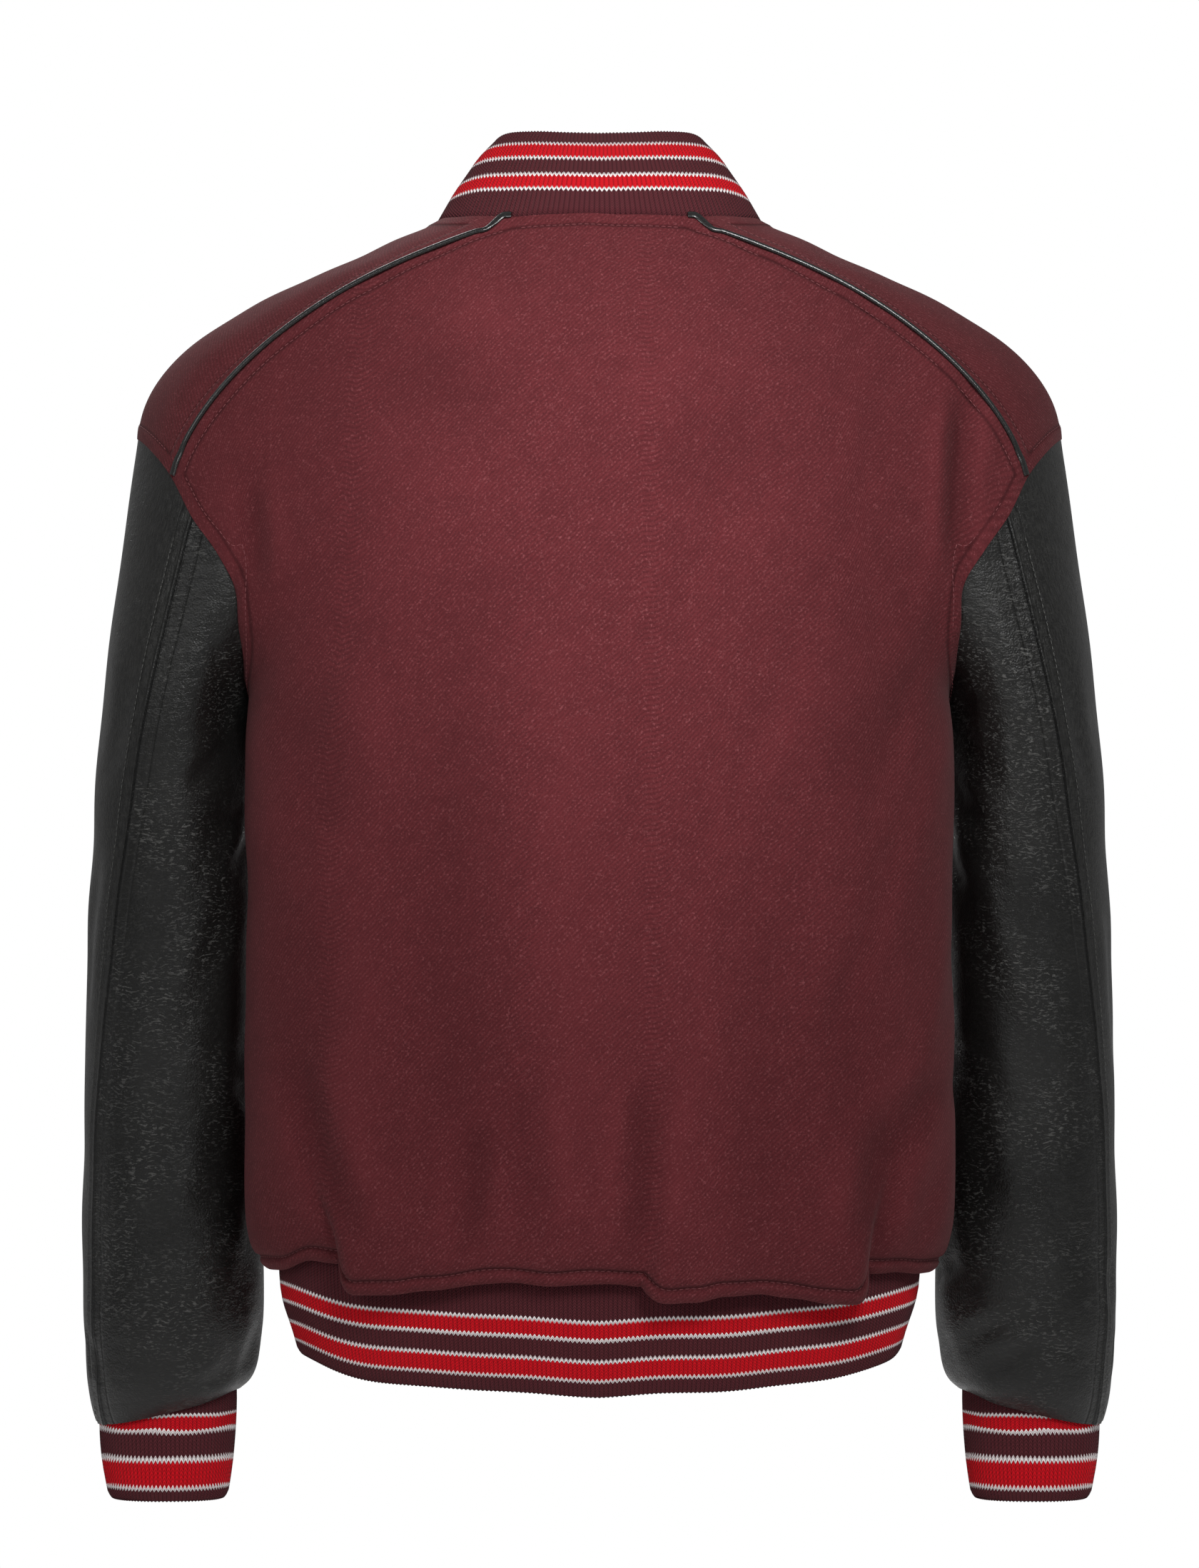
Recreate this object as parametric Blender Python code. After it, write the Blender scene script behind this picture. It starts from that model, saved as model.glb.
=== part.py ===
"""A varsity jacket, filled out and hollow, as an unseen wearer holds it.

The body is wool, the two-piece sleeves are leather, and the collar, cuffs and hem are striped rib.
The shoulder seams are set to the back and piped with leather. Press studs close the front.
The origin is the middle of the neck's base. +Z is up, +Y the wearer's back and +X the wearer's left.
Every table is in millimetres and every other length in metres.
"""

import bpy
import bmesh
import numpy as np

MM = 0.001

# Cloth
WOOL_WALL = 0.0020
LEATHER_WALL = 0.0015
RIB_WALL = 0.0030
SEAM_GAP = 0.0003

# Mesh density
SIDE_ROWS = 9  # hem to underarm
BACK_ARM_ROWS = 7  # underarm to the piped seam, up the back of the armhole
FRONT_ARM_ROWS = 11  # underarm to the shoulder's tip, up the front of the armhole
SHOULDER_ROWS = 3  # the shoulder's tip to the piped seam
NECK_COLUMNS = 3  # middle of the back to the piping's end at the neck
PANEL_COLUMNS = 12  # along the piped seam
OVERLAP_COLUMNS = 2  # past the middle of the front

# Details
FRONT_OVERLAP = 0.014
OVERLAP_BLEND = 0.045
PIPING_RADIUS = 0.0016
RIB_RELIEF = 0.0006
HEM_RIBS, COLLAR_RIBS, CUFF_RIBS = 200, 96, 46
STUD_RADIUS, STUD_TOP_RADIUS, STUD_HEIGHT, STUD_FACETS = 0.0075, 0.0047, 0.0024, 12


def table(columns, rows):
    """A dict of arrays, one for each named column. Columns are lengths in millimetres, made metres here,
    except `v`, which is the place up the panel, and `turn`, in degrees."""
    names = columns.split()
    values = np.array(rows, float).T
    return {name: line if name in ("v", "turn") else line * MM for name, line in zip(names, values)}


def points(rows, *names):
    """The named columns of a table, side by side."""
    return np.stack([rows[name] for name in names], axis=-1)


# The neck seam, from the middle of the back round the wearer's left side to the middle of the front.
NECK = table("x y z", [
    (0, 72, 6), (26, 71, 6), (50, 65, 5), (80, 44, 6), (95, 10, 7),
    (89, -34, -9), (67, -67, -37), (35, -88, -61), (0, -95, -70),
])  # fmt: skip

# The top edge of the collar, over the same stretch.
COLLAR_TOP = table("x y z", [
    (0, 34, 57.5), (19, 33, 58), (38, 28, 59), (56, 12, 58.5), (62, -10, 52),
    (56, -32, 38), (42, -55, 15), (22, -70, -2), (0, -75, -8),
])  # fmt: skip

# The piped seam: a Bezier curve from the neck to the armhole.
PIPED_SEAM = table("x y z", [(50, 65, 5), (115, 60, -14), (226, 66, -70), (247, 58, -146)])

# The left armhole, from the underarm up the back, over the shoulder's tip and down the front.
# `turn` is the place round the sleeve that the cloth below hangs to: 0 outside, 90 back, 180 inside.
ARMHOLE = table("x y z turn", [
    (197, -12, -278, 180), (205, 28, -263, 150), (207.5, 62, -237, 124), (210, 73, -208, 108),
    (221, 75, -189, 95), (235, 70, -169, 78), (247, 58, -146, 54), (271.5, -8, -120, 0),
    (250, -53, -139, -52), (221, -86, -171, -82), (197, -93, -205, -103), (185, -86, -236, -122),
    (186, -58, -264, -150), (197, -12, -278, -180),
])  # fmt: skip
PIPING_KNOT, TIP_KNOT = 6, 7

# The left side seam, from the hem to the underarm.
SIDE_SEAM = table("v x y z", [
    (0.00, 185, -5, -609), (0.03, 192, -5, -600), (0.08, 197, -5, -584), (0.20, 198, -5, -512),
    (0.34, 197, -5, -420), (0.47, 196, -8, -335), (0.55, 197, -12, -278),
])  # fmt: skip
UNDERARM = SIDE_SEAM["v"][-1]

# The back, at heights v from the hem to the piped seam. A section runs from the middle of the back
# (y, z) with a handle `reach` long that falls by `fall`, to the side, which it meets from the point
# (side_x, side_y, side_z).
BACK = table("v y z reach fall side_x side_y side_z", [
    (0.00, 121, -603, 112, 0, 216, 80, -609), (0.03, 129, -594, 115, 0, 230, 86, -600),
    (0.08, 134, -579, 118, 0, 239, 91, -584), (0.20, 137, -500, 118, 0, 240, 92, -512),
    (0.38, 138, -372, 118, 0, 240, 92, -395), (0.55, 136, -250, 116, 2, 237, 94, -290),
    (0.60, 134, -218, 115, 3, 222, 95, -266),
    (0.66, 131, -178, 112, 4, 217, 92, -240), (0.78, 122, -112, 106, 6, 216, 90, -190),
    (0.88, 106, -56, 100, 7, 218, 84, -142), (0.95, 88, -19, 94, 5, 222, 75, -103),
    (1.00, 72, 6, 90, 2, 226, 66, -70),
])  # fmt: skip

# The left front, at the same heights up to the underarm and then over the shoulder to the piped seam.
# A section starts at the middle of the front (y, z) or, from the neck point up, at the place `neck` in
# thousandths of a row of the neck table. It leaves for the point (in_x, in_y, in_z) and comes to the
# outer edge from the point (out_x, out_y, out_z).
FRONT = table("v neck y z in_x in_y in_z out_x out_y out_z", [
    (0.00, 8000, -124, -602, 108, -124, -602, 171, -87, -609),
    (0.03, 8000, -131, -594, 112, -131, -594, 178, -91, -600),
    (0.08, 8000, -136, -578, 114, -136, -578, 181, -93, -584),
    (0.20, 8000, -139, -500, 114, -139, -500, 182, -95, -512),
    (0.38, 8000, -140, -360, 112, -140, -360, 181, -97, -395),
    (0.55, 8000, -131, -205, 106, -134, -208, 178, -98, -275),
    (0.62, 8000, -117, -138, 94, -126, -146, 170, -104, -232),
    (0.70, 8000, -95, -70, 84, -113, -92, 164, -114, -190),
    (0.76, 7200, -95, -70, 108, -99, -70, 172, -112, -156),
    (0.84, 5800, -95, -70, 138, -62, -42, 203, -92, -112),
    (0.88, 4900, -95, -70, 150, -30, -31, 238, -58, -82),
    (0.92, 4000, -95, -70, 156, 4, -26, 271.5, -8, -54),
    (0.96, 2900, -95, -70, 142, 38, -20, 252, 38, -58),
    (1.00, 2000, -95, -70, 115, 60, -14, 226, 66, -70),
])  # fmt: skip
NECK_POINT = 0.70
SHOULDER_TIP = 0.92

# The sleeve's rings below the armhole. `lean` raises the outer side over the inner one.
SLEEVE = table("x y z wide deep lean", [
    (248, -12, -292, 43.5, 79, 30), (252.5, -20, -378, 47.5, 72, 10), (255, -32, -490, 50.0, 66, 0),
    (254, -40, -592, 53, 63, 0), (254, -45, -652, 52, 61, 0), (256.5, -47, -683, 47, 49, -5),
    (257, -47, -690, 43, 37, -8),
])  # fmt: skip

SLEEVE_STEPS = (0.0, 0.33, 0.67, 1.0, 1.5, 2.0, 2.5, 3.0, 3.5, 4.0, 4.5, 5.0, 5.5, 6.0, 7.0)

# The sleeve's back seam turns from the back of the arm at the top to its outer side at the wrist.
BACK_SEAM_TURN = table("v turn", [(0, 78), (1, 72), (2, 60), (3, 43), (4, 35), (7, 35)])
FRONT_SEAM_STEP = 3  # rows down the front of the armhole from the underarm

# Rib bands, as rows from the seam to the free edge: the drop below the seam and the inset from it.
HEM_BAND = table("drop inset", [(-5, 1.2), (0.5, 3.2), (46, 10), (71, 15)])
HEM_SIDE_RISE, HEM_RISE_BEND = 0.024, 1.15
HEM_SINK = 0.0095  # the covered front's depth at the hem, where the other front's rib lies over it
CUFF_BAND = table("drop inset", [(-6, 2.6), (6, 2.4), (34, 4.2), (58, 8)])
# The folds of the back above the hem, from the wearer's right: how far the cloth drops past each one.
HEM_FOLDS = table("x soft drop", [(-155, 12, 13), (-30, 14, 6), (138, 12, 0)])
COLLAR_BOW = (0.0, 0.0022, 0.0026, 0.0)
FOLD_BELLY = -0.45  # the cloth's swell at a fold, against its drop
COLLAR_LIFT, COLLAR_END_GAP = 0.0006, 0.0010
UNDERARM_TUCK = 0.018
RING_SMOOTH = 0.03
STUD_GAP = 0.0004
STUD_HEIGHTS = (-0.100, -0.187, -0.274, -0.361, -0.448, -0.535)


def spline(knots, at, places=None):
    """Points on a smooth curve through `knots`. `at` counts along them, so 1.5 is midway between the
    second and the third. Slopes weigh the two neighbouring chords by their lengths, or by `places`."""
    knots, at = np.asarray(knots, float), np.asarray(at, float)
    if places is None:
        chords = np.linalg.norm(np.diff(knots, axis=0), axis=-1)[..., None]
    else:
        chords = np.diff(places).reshape((-1,) + (1,) * (knots.ndim - 1))
    rates = np.diff(knots, axis=0) / chords
    slopes = np.empty_like(knots)
    slopes[0], slopes[-1] = rates[0], rates[-1]
    slopes[1:-1] = (rates[:-1] * chords[1:] + rates[1:] * chords[:-1]) / (chords[1:] + chords[:-1])
    i = np.clip(at.astype(int), 0, len(knots) - 2)
    t = (at - i).reshape((-1,) + (1,) * (knots.ndim - 1))
    step = chords[i]
    return (
        (2 * t**3 - 3 * t**2 + 1) * knots[i]
        + (t**3 - 2 * t**2 + t) * step * slopes[i]
        + (3 * t**2 - 2 * t**3) * knots[i + 1]
        + (t**3 - t**2) * step * slopes[i + 1]
    )


def at_heights(rows, v, *names):
    """The named columns of a table read at heights v."""
    count = np.interp(v, rows["v"], np.arange(len(rows["v"])))
    return spline(points(rows, *names), count, rows["v"])


def bezier(controls, t):
    """Cubic Bezier sections: controls are rows of four points, and t the places along each."""
    a, b, c, d = (controls[:, i, None, :] for i in range(4))
    t = np.asarray(t)[None, :, None]
    return (1 - t) ** 3 * a + 3 * (1 - t) ** 2 * t * b + 3 * (1 - t) * t**2 * c + t**3 * d


def even_places(knots, first, last, steps):
    """Places from knot `first` to knot `last` at even distances along the curve."""
    fine = np.linspace(first, last, 40 * abs(last - first) + 1)
    far = np.concatenate([[0], np.cumsum(np.linalg.norm(np.diff(spline(knots, fine), axis=0), axis=1))])
    return np.interp(np.linspace(0, far[-1], steps + 1), far, fine)


def smooth_step(value):
    value = np.clip(value, 0, 1)
    return value * value * (3 - 2 * value)


def mirrored(grid):
    return grid * np.array([-1.0, 1.0, 1.0])


def normals(grid, closed=False):
    """Unit normals of a grid of points, along columns x rows."""
    if closed:
        across = np.roll(grid, -1, axis=1) - np.roll(grid, 1, axis=1)
    else:
        across = np.gradient(grid, axis=1)
    cross = np.cross(across, np.gradient(grid, axis=0))
    return cross / np.linalg.norm(cross, axis=-1, keepdims=True)


# --- The armhole, shared by the body and the sleeve ---


def armhole_places():
    """Places of the seam's points up the back and up the front, both from the underarm to the piping."""
    knots = points(ARMHOLE, "x", "y", "z")
    last = len(knots) - 1
    back = even_places(knots, 0, PIPING_KNOT, BACK_ARM_ROWS)
    front = even_places(knots, last, TIP_KNOT, FRONT_ARM_ROWS)
    shoulder = even_places(knots, TIP_KNOT, PIPING_KNOT, SHOULDER_ROWS)
    return back, np.concatenate([front, shoulder[1:]])


def armhole_points(places):
    return spline(points(ARMHOLE, "x", "y", "z"), places)


# --- Body panels ---


def back_heights():
    side = np.concatenate([[0, 0.03], np.linspace(0.08, UNDERARM, SIDE_ROWS - 1)])
    arm = np.linspace(UNDERARM, 1, BACK_ARM_ROWS + 1)[1:]
    return side, arm


def front_heights():
    side = back_heights()[0]
    below = int(round(FRONT_ARM_ROWS * 0.45))
    arm = np.concatenate([
        np.linspace(UNDERARM, NECK_POINT, below + 1)[1:],
        np.linspace(NECK_POINT, SHOULDER_TIP, FRONT_ARM_ROWS - below + 1)[1:],
        np.linspace(SHOULDER_TIP, 1, SHOULDER_ROWS + 1)[1:],
    ])  # fmt: skip
    return side, arm


def side_edge(side, arm_places):
    """The outer edge of a body panel: the side seam, then its part of the armhole."""
    return np.concatenate([at_heights(SIDE_SEAM, side, "x", "y", "z"), armhole_points(arm_places[1:])])


def neck_points(places):
    return spline(points(NECK, "x", "y", "z"), places)


def piped_seam(t):
    return bezier(points(PIPED_SEAM, "x", "y", "z")[None], t)[0]


def hem_drop(x):
    """How far the wool's lower edge sinks between the three folds of the back."""
    first, second, third = ((x - place) / HEM_FOLDS["soft"][i] for i, place in enumerate(HEM_FOLDS["x"]))
    deep, shallow = HEM_FOLDS["drop"][:2]
    return deep * smooth_step(first) * (1 - smooth_step(second)) + shallow * smooth_step(second) * (
        1 - smooth_step(third)
    )


def back_half():
    """The left half of the back as rows of points, from the middle to the side."""
    side, arm = back_heights()
    v = np.concatenate([side, arm])
    edge = side_edge(side, armhole_places()[0])
    middle = np.zeros((len(v), 3))
    middle[:, 1:] = at_heights(BACK, v, "y", "z")
    reach = at_heights(BACK, v, "reach", "fall")
    handle = middle + np.stack([reach[:, 0], 0 * v, -reach[:, 1]], axis=1)
    side_handle = at_heights(BACK, v, "side_x", "side_y", "side_z")
    controls = np.stack([middle, handle, side_handle, edge], axis=1)
    neck_t = 0.17
    t = np.concatenate([
        np.linspace(0, neck_t, NECK_COLUMNS + 1)[:-1], np.linspace(neck_t, 1, PANEL_COLUMNS + 1),
    ])  # fmt: skip
    grid = bezier(controls, t)
    # The top row follows the neck seam and then the piped seam, and the rows below ease into it.
    top = np.concatenate([
        neck_points(np.linspace(0, 2, NECK_COLUMNS + 1))[:-1],
        piped_seam(np.linspace(0, 1, PANEL_COLUMNS + 1)),
    ])  # fmt: skip
    ease = np.clip((v - 0.72) / 0.28, 0, 1) ** 2
    return grid + ease[:, None, None] * (top - grid[-1])[None]


def back_grid(folded=True):
    """The whole back. Near the hem the cloth bellies out and hangs lower between its folds."""
    left = back_half()
    grid = np.concatenate([mirrored(left)[:, :0:-1], left], axis=1)
    if not folded:
        return grid
    v = np.concatenate(back_heights())
    side_fade = 1 - np.abs(np.linspace(-1, 1, grid.shape[1])) ** 6
    drop = hem_drop(grid[..., 0]) * (1 - smooth_step(v / 0.20))[:, None] * side_fade
    grid += normals(grid) * (FOLD_BELLY * drop)[..., None]
    grid[..., 2] -= drop
    return grid


def front_controls():
    """The section handles of the left front, with the heights of its rows."""
    side, arm = front_heights()
    v = np.concatenate([side, arm])
    edge = side_edge(side, armhole_places()[1])
    start = at_heights(FRONT, v, "y", "z")
    neck = np.interp(v, FRONT["v"], FRONT["neck"])
    inner = np.where(
        (v < NECK_POINT)[:, None], np.column_stack([0 * v, start]), neck_points(np.clip(neck, 0, 8)),
    )  # fmt: skip
    inner_handle = at_heights(FRONT, v, "in_x", "in_y", "in_z")
    outer_handle = at_heights(FRONT, v, "out_x", "out_y", "out_z")
    return v, np.stack([inner, inner_handle, outer_handle, edge], axis=1)


def overlap_share(x):
    """How far the covered front has sunk, 0 to 1, at a distance from the middle of the front."""
    return 1 - smooth_step((x - FRONT_OVERLAP) / OVERLAP_BLEND)


def front_grid(under):
    """The left front as rows of points, with the strip that passes the middle of the front and lies
    along the other front. `under` sinks the panel's edge below the other front's, and below its rib."""
    v, controls = front_controls()
    grid = bezier(controls, np.linspace(0, 1, PANEL_COLUMNS + 1))
    past = FRONT_OVERLAP * np.linspace(1, 0, OVERLAP_COLUMNS + 1)[:-1]
    strip = np.zeros((len(v), OVERLAP_COLUMNS, 3))
    strip[..., 0] = -past
    for line, row in zip(strip, bezier(controls, np.linspace(0, 1, 240))):
        line[:, 1] = np.interp(past, row[:, 0], row[:, 1])
        line[:, 2] = np.interp(past, row[:, 0], row[:, 2])
    grid = np.concatenate([strip, grid], axis=1)
    if under:
        depth = WOOL_WALL + 2 * SEAM_GAP + (HEM_SINK - WOOL_WALL) * (1 - smooth_step(v / 0.12))
        depth *= 1 - smooth_step((v - NECK_POINT) / 0.12)
        grid -= normals(grid) * (depth[:, None] * overlap_share(grid[..., 0]))[..., None]
    below_neck = v <= NECK_POINT + 1e-6
    keep = np.ones(grid.shape[:2], bool)
    keep[~below_neck, :OVERLAP_COLUMNS] = False
    return grid, keep


# --- Sleeves ---


def sleeve_turns():
    """The place round the sleeve of each point of the armhole, from the underarm up the back and down."""
    back, front = armhole_places()
    places = np.concatenate([back, front[-2:0:-1]])
    turn = np.interp(places, np.arange(len(ARMHOLE["turn"])), ARMHOLE["turn"])
    return places, turn


def sleeve_grid():
    """The whole left sleeve: rings of points down the arm, from the underarm round by the back."""
    places, turn = sleeve_turns()
    back_seam = BACK_ARM_ROWS - 1
    front_seam = len(places) - FRONT_SEAM_STEP
    rings = [armhole_points(places)]
    for i in range(len(SLEEVE["x"])):
        seam = np.interp(i + 1, BACK_SEAM_TURN["v"], BACK_SEAM_TURN["turn"])
        front = turn[front_seam]
        moved = np.interp(turn[::-1], [-180, front, turn[back_seam], 180], [-180, front, seam, 180])[::-1]
        angle = np.radians(moved)
        row = {name: column[i] for name, column in SLEEVE.items()}
        across = np.cos(angle)
        rings.append(np.column_stack([
            row["x"] + row["wide"] * np.sign(across) * np.abs(across) ** 0.92,
            row["y"] + row["deep"] * np.sin(angle),
            row["z"] + row["lean"] * across,
        ]))  # fmt: skip
    grid = spline(np.array(rings), SLEEVE_STEPS)
    facing_body = np.clip(-np.cos(np.radians(turn)), 0, 1) * np.abs(np.sin(np.radians(turn)))
    near_armhole = 1 - smooth_step((np.array(SLEEVE_STEPS[1:]) - 0.33) / 1.7)
    grid[1:, :, 0] += UNDERARM_TUCK * facing_body * near_armhole[:, None]
    return grid, back_seam, front_seam


# --- Meshes ---


def collection_named(name):
    made = bpy.data.collections.new(name)
    bpy.context.scene.collection.children.link(made)
    return made


def material(name, colour, roughness, metallic=0.0):
    made = bpy.data.materials.new(name)
    made.use_nodes = True
    shader = made.node_tree.nodes["Principled BSDF"]
    shader.inputs["Base Color"].default_value = (*colour, 1)
    shader.inputs["Roughness"].default_value = roughness
    shader.inputs["Metallic"].default_value = metallic
    return made


def add_object(name, vertices, faces, surface):
    mesh = bpy.data.meshes.new(name)
    mesh.from_pydata([tuple(vertex) for vertex in vertices], [], faces)
    mesh.materials.append(surface)
    mesh.shade_smooth()
    made = bpy.data.objects.new(name, mesh)
    bpy.data.collections["VarsityJacket"].objects.link(made)
    return made


def seam_eased(grid, gap):
    """A panel's grid drawn in by half a seam gap along each of its four edges."""
    grid = grid.copy()
    for axis in (0, 1):
        lines = np.moveaxis(grid, axis, 0)
        for edge, inner in ((0, 1), (-1, -2)):
            away = lines[inner] - lines[edge]
            lines[edge] += away * (gap / 2) / np.linalg.norm(away, axis=-1, keepdims=True)
    return grid


def turned_over(corners):
    """A face seen from behind, which is cut into triangles along the same diagonal."""
    return corners[:1] + corners[:0:-1]


def panel(name, grid, out, wall, surface, keep=None, flip=False):
    """A cloth panel: a grid of points, and the same grid moved inwards against the normals `out`, with
    faces on both and round every edge. `keep` leaves out corners of the grid that the cut leaves out."""
    rows, columns = grid.shape[:2]
    keep = np.ones((rows, columns), bool) if keep is None else keep
    grid = seam_eased(grid, SEAM_GAP)
    index = np.cumsum(keep.ravel()).reshape(rows, columns) - 1
    inside = keep.sum()
    faces, edges = [], {}
    for r in range(rows - 1):
        for c in range(columns - 1):
            if keep[r : r + 2, c : c + 2].all():
                corners = [index[r, c], index[r, c + 1], index[r + 1, c + 1], index[r + 1, c]]
                falling = np.linalg.norm(grid[r, c] - grid[r + 1, c + 1])
                if falling > np.linalg.norm(grid[r, c + 1] - grid[r + 1, c]):
                    corners = corners[1:] + corners[:1]
                faces.append(corners)
                faces.append([corner + inside for corner in turned_over(corners)])
                for a, b in zip(corners, corners[1:] + corners[:1]):
                    if not edges.pop((b, a), None):
                        edges[a, b] = True
    faces += [[b, a, a + inside, b + inside] for a, b in edges]
    if flip:
        faces = [turned_over(corners) for corners in faces]
    return add_object(name, np.concatenate([grid[keep], (grid - out * wall)[keep]]), faces, surface)


def body_grids():
    """The back and the left front, with their outward normals. Along a seam that they share, the
    normals are one, so that the walls meet edge to edge."""
    back, (front, keep) = back_grid(), front_grid(under=False)
    back_out, front_out = -normals(back), normals(front)
    for back_part, front_part in (
        (np.s_[-1, -PANEL_COLUMNS - 1 :], np.s_[-1, OVERLAP_COLUMNS:]),
        (np.s_[: SIDE_ROWS + 1, -1], np.s_[: SIDE_ROWS + 1, -1]),
    ):
        shared = back_out[back_part] + front_out[front_part]
        shared /= np.linalg.norm(shared, axis=-1, keepdims=True)
        back_out[back_part] = front_out[front_part] = shared
    back_out[-1, : PANEL_COLUMNS + 1] = mirrored(back_out[-1, -PANEL_COLUMNS - 1 :])[::-1]
    back_out[: SIDE_ROWS + 1, 0] = mirrored(back_out[: SIDE_ROWS + 1, -1])
    return back, back_out, front, front_out, keep


def body_panels(wool):
    back, back_out, front, front_out, keep = body_grids()
    panel("back", back, back_out, WOOL_WALL, wool, flip=True)
    panel("front_left", front, front_out, WOOL_WALL, wool, keep)
    under = mirrored(front_grid(under=True)[0])
    panel("front_right", under, mirrored(front_out), WOOL_WALL, wool, keep, flip=True)


def sleeve_panels(leather):
    grid, back_seam, front_seam = sleeve_grid()
    out = normals(grid, closed=True)
    last = grid.shape[1]
    upper = np.arange(back_seam, front_seam + 1)
    under = np.arange(front_seam, last + back_seam + 1) % last
    for name, columns in (("upper", upper), ("under", under)):
        piece, piece_out = grid[:, columns], out[:, columns]
        panel(f"sleeve_{name}_left", piece, piece_out, LEATHER_WALL, leather)
        panel(
            f"sleeve_{name}_right", mirrored(piece), mirrored(piece_out), LEATHER_WALL, leather, flip=True
        )


# --- Rib bands ---


def rib_band(name, outline, ribs, closed, surface, flip=False):
    """A double rib band with its ribs raised in the outer points over a plain inside.
    outline(places) gives rows of points from the seam to the free edge, at places from 0 to 1 round it."""
    segments = 2 * ribs
    coarse = segments // 8 if segments % 8 == 0 else segments // 4
    share = segments // coarse
    places = np.arange(segments) / segments if closed else np.linspace(0, 1, segments + 1)
    skin = outline(places)
    out = normals(skin, closed) * (-1 if flip else 1)
    raised = np.where(np.arange(len(places)) % 2 == 0, 0.5, -0.5) * RIB_RELIEF
    outer = skin + out * raised[None, :, None]
    inner = (skin - out * RIB_WALL)[:, ::share]
    rows, wide, narrow = len(skin), outer.shape[1], inner.shape[1]
    vertices = np.concatenate([outer.reshape(-1, 3), inner.reshape(-1, 3)])
    base = rows * wide

    def on_outer(r, c):
        return r * wide + c % wide

    def on_inner(r, c):
        return base + r * narrow + c % narrow

    faces = []
    for r in range(rows - 1):
        for c in range(segments):
            faces.append([on_outer(r, c), on_outer(r, c + 1), on_outer(r + 1, c + 1), on_outer(r + 1, c)])
        for c in range(coarse):
            faces.append([on_inner(r, c), on_inner(r + 1, c), on_inner(r + 1, c + 1), on_inner(r, c + 1)])
    for r, turn in ((0, 1), (rows - 1, -1)):
        for c in range(coarse):
            first, middle, last = c * share, c * share + share // 2, (c + 1) * share
            fan = [[on_inner(r, c), on_outer(r, k + 1), on_outer(r, k)] for k in range(first, middle)]
            fan.append([on_inner(r, c), on_inner(r, c + 1), on_outer(r, middle)])
            fan += [[on_inner(r, c + 1), on_outer(r, k + 1), on_outer(r, k)] for k in range(middle, last)]
            faces += [corners[::turn] for corners in fan]
    if not closed:
        for r in range(rows - 1):
            faces.append([on_outer(r, 0), on_outer(r + 1, 0), on_inner(r + 1, 0), on_inner(r, 0)])
            end = on_outer(r, segments), on_inner(r, coarse)
            faces.append([*end, on_inner(r + 1, coarse), on_outer(r + 1, segments)])
    if flip:
        faces = [corners[::-1] for corners in faces]
    return add_object(name, vertices, faces, surface)


def resampled(line, places, closed=False):
    """Points at even distances along a line of points, at places from 0 to 1."""
    if closed:
        line = np.concatenate([line, line[:1]])
    far = np.concatenate([[0], np.cumsum(np.linalg.norm(np.diff(line, axis=0), axis=1))])
    return np.column_stack([np.interp(np.asarray(places) * far[-1], far, line[:, i]) for i in range(3)])


def level_out(line, places, closed=False):
    """Unit normals of a ring seen from above, outwards for a ring that runs from front to left to back.
    They are smoothed over RING_SMOOTH of its length to each side."""
    if closed:
        ahead, behind = (resampled(line, (places + turn) % 1, True) for turn in (RING_SMOOTH, -RING_SMOOTH))
    else:
        ahead, behind = (
            resampled(line, np.clip(places + turn, 0, 1)) for turn in (RING_SMOOTH, -RING_SMOOTH)
        )
    along = ahead - behind
    out = np.column_stack([along[:, 1], -along[:, 0], 0 * along[:, 0]])
    return out / np.linalg.norm(out, axis=1, keepdims=True)


def hem_edge(folded=True):
    """The wool's lower edge, from the middle of the front round the left side and the back."""
    front = front_grid(under=False)[0][0, OVERLAP_COLUMNS:]
    return np.concatenate([front[:-1], back_grid(folded)[0, ::-1], mirrored(front)[-2::-1]])


def neck_edge():
    """The body's neck edge, from the middle of the front round the left side and the back."""
    front = front_grid(under=False)[0][:, OVERLAP_COLUMNS]
    from_neck_point = front[front_controls()[0] > NECK_POINT - 1e-6]
    half = np.concatenate([from_neck_point[:-1], back_half()[-1, NECK_COLUMNS::-1]])
    return np.concatenate([half, mirrored(half)[-2::-1]])


def hem_outline(places):
    """Rows of the hem band. It runs past the middle of the front at both ends, and its right end
    sinks below its left one. The back's folds die out down the band."""
    edges = hem_edge(), hem_edge(folded=False)
    length = np.linalg.norm(np.diff(edges[1], axis=0), axis=1).sum()
    spare = FRONT_OVERLAP / length
    along = places * (1 + 2 * spare) - spare
    ring, plain = (resampled(edge, np.clip(along, 0, 1)) for edge in edges)
    past = np.clip(-along, 0, None) - np.clip(along - 1, 0, None)
    out = level_out(edges[1], np.clip(along, 0, 1))
    sink = (HEM_SINK * overlap_share(-plain[:, 0]) * (along > 0.75))[:, None]
    rows = []
    for drop, inset in zip(HEM_BAND["drop"], HEM_BAND["inset"]):
        low = smooth_step(drop / HEM_BAND["drop"][-1])
        row = ring + (plain - ring) * low - out * (inset + sink)
        row[:, 0] -= past * length
        row[:, 2] += low * HEM_SIDE_RISE * np.abs(out[:, 0]) ** HEM_RISE_BEND - drop
        rows.append(row)
    return np.array(rows)


def cuff_outline(places):
    """Rows of the left cuff, from inside the sleeve's end down to a level edge."""
    end = sleeve_grid()[0][-1, ::-1]
    ring = resampled(end, places, closed=True)
    out = level_out(end, places, closed=True)
    rows = []
    for drop, inset in zip(CUFF_BAND["drop"], CUFF_BAND["inset"]):
        row = ring - out * inset
        row[:, 2] += (end[:, 2].mean() - ring[:, 2]) * smooth_step(drop / CUFF_BAND["drop"][-1]) - drop
        rows.append(row)
    return np.array(rows)


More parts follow.
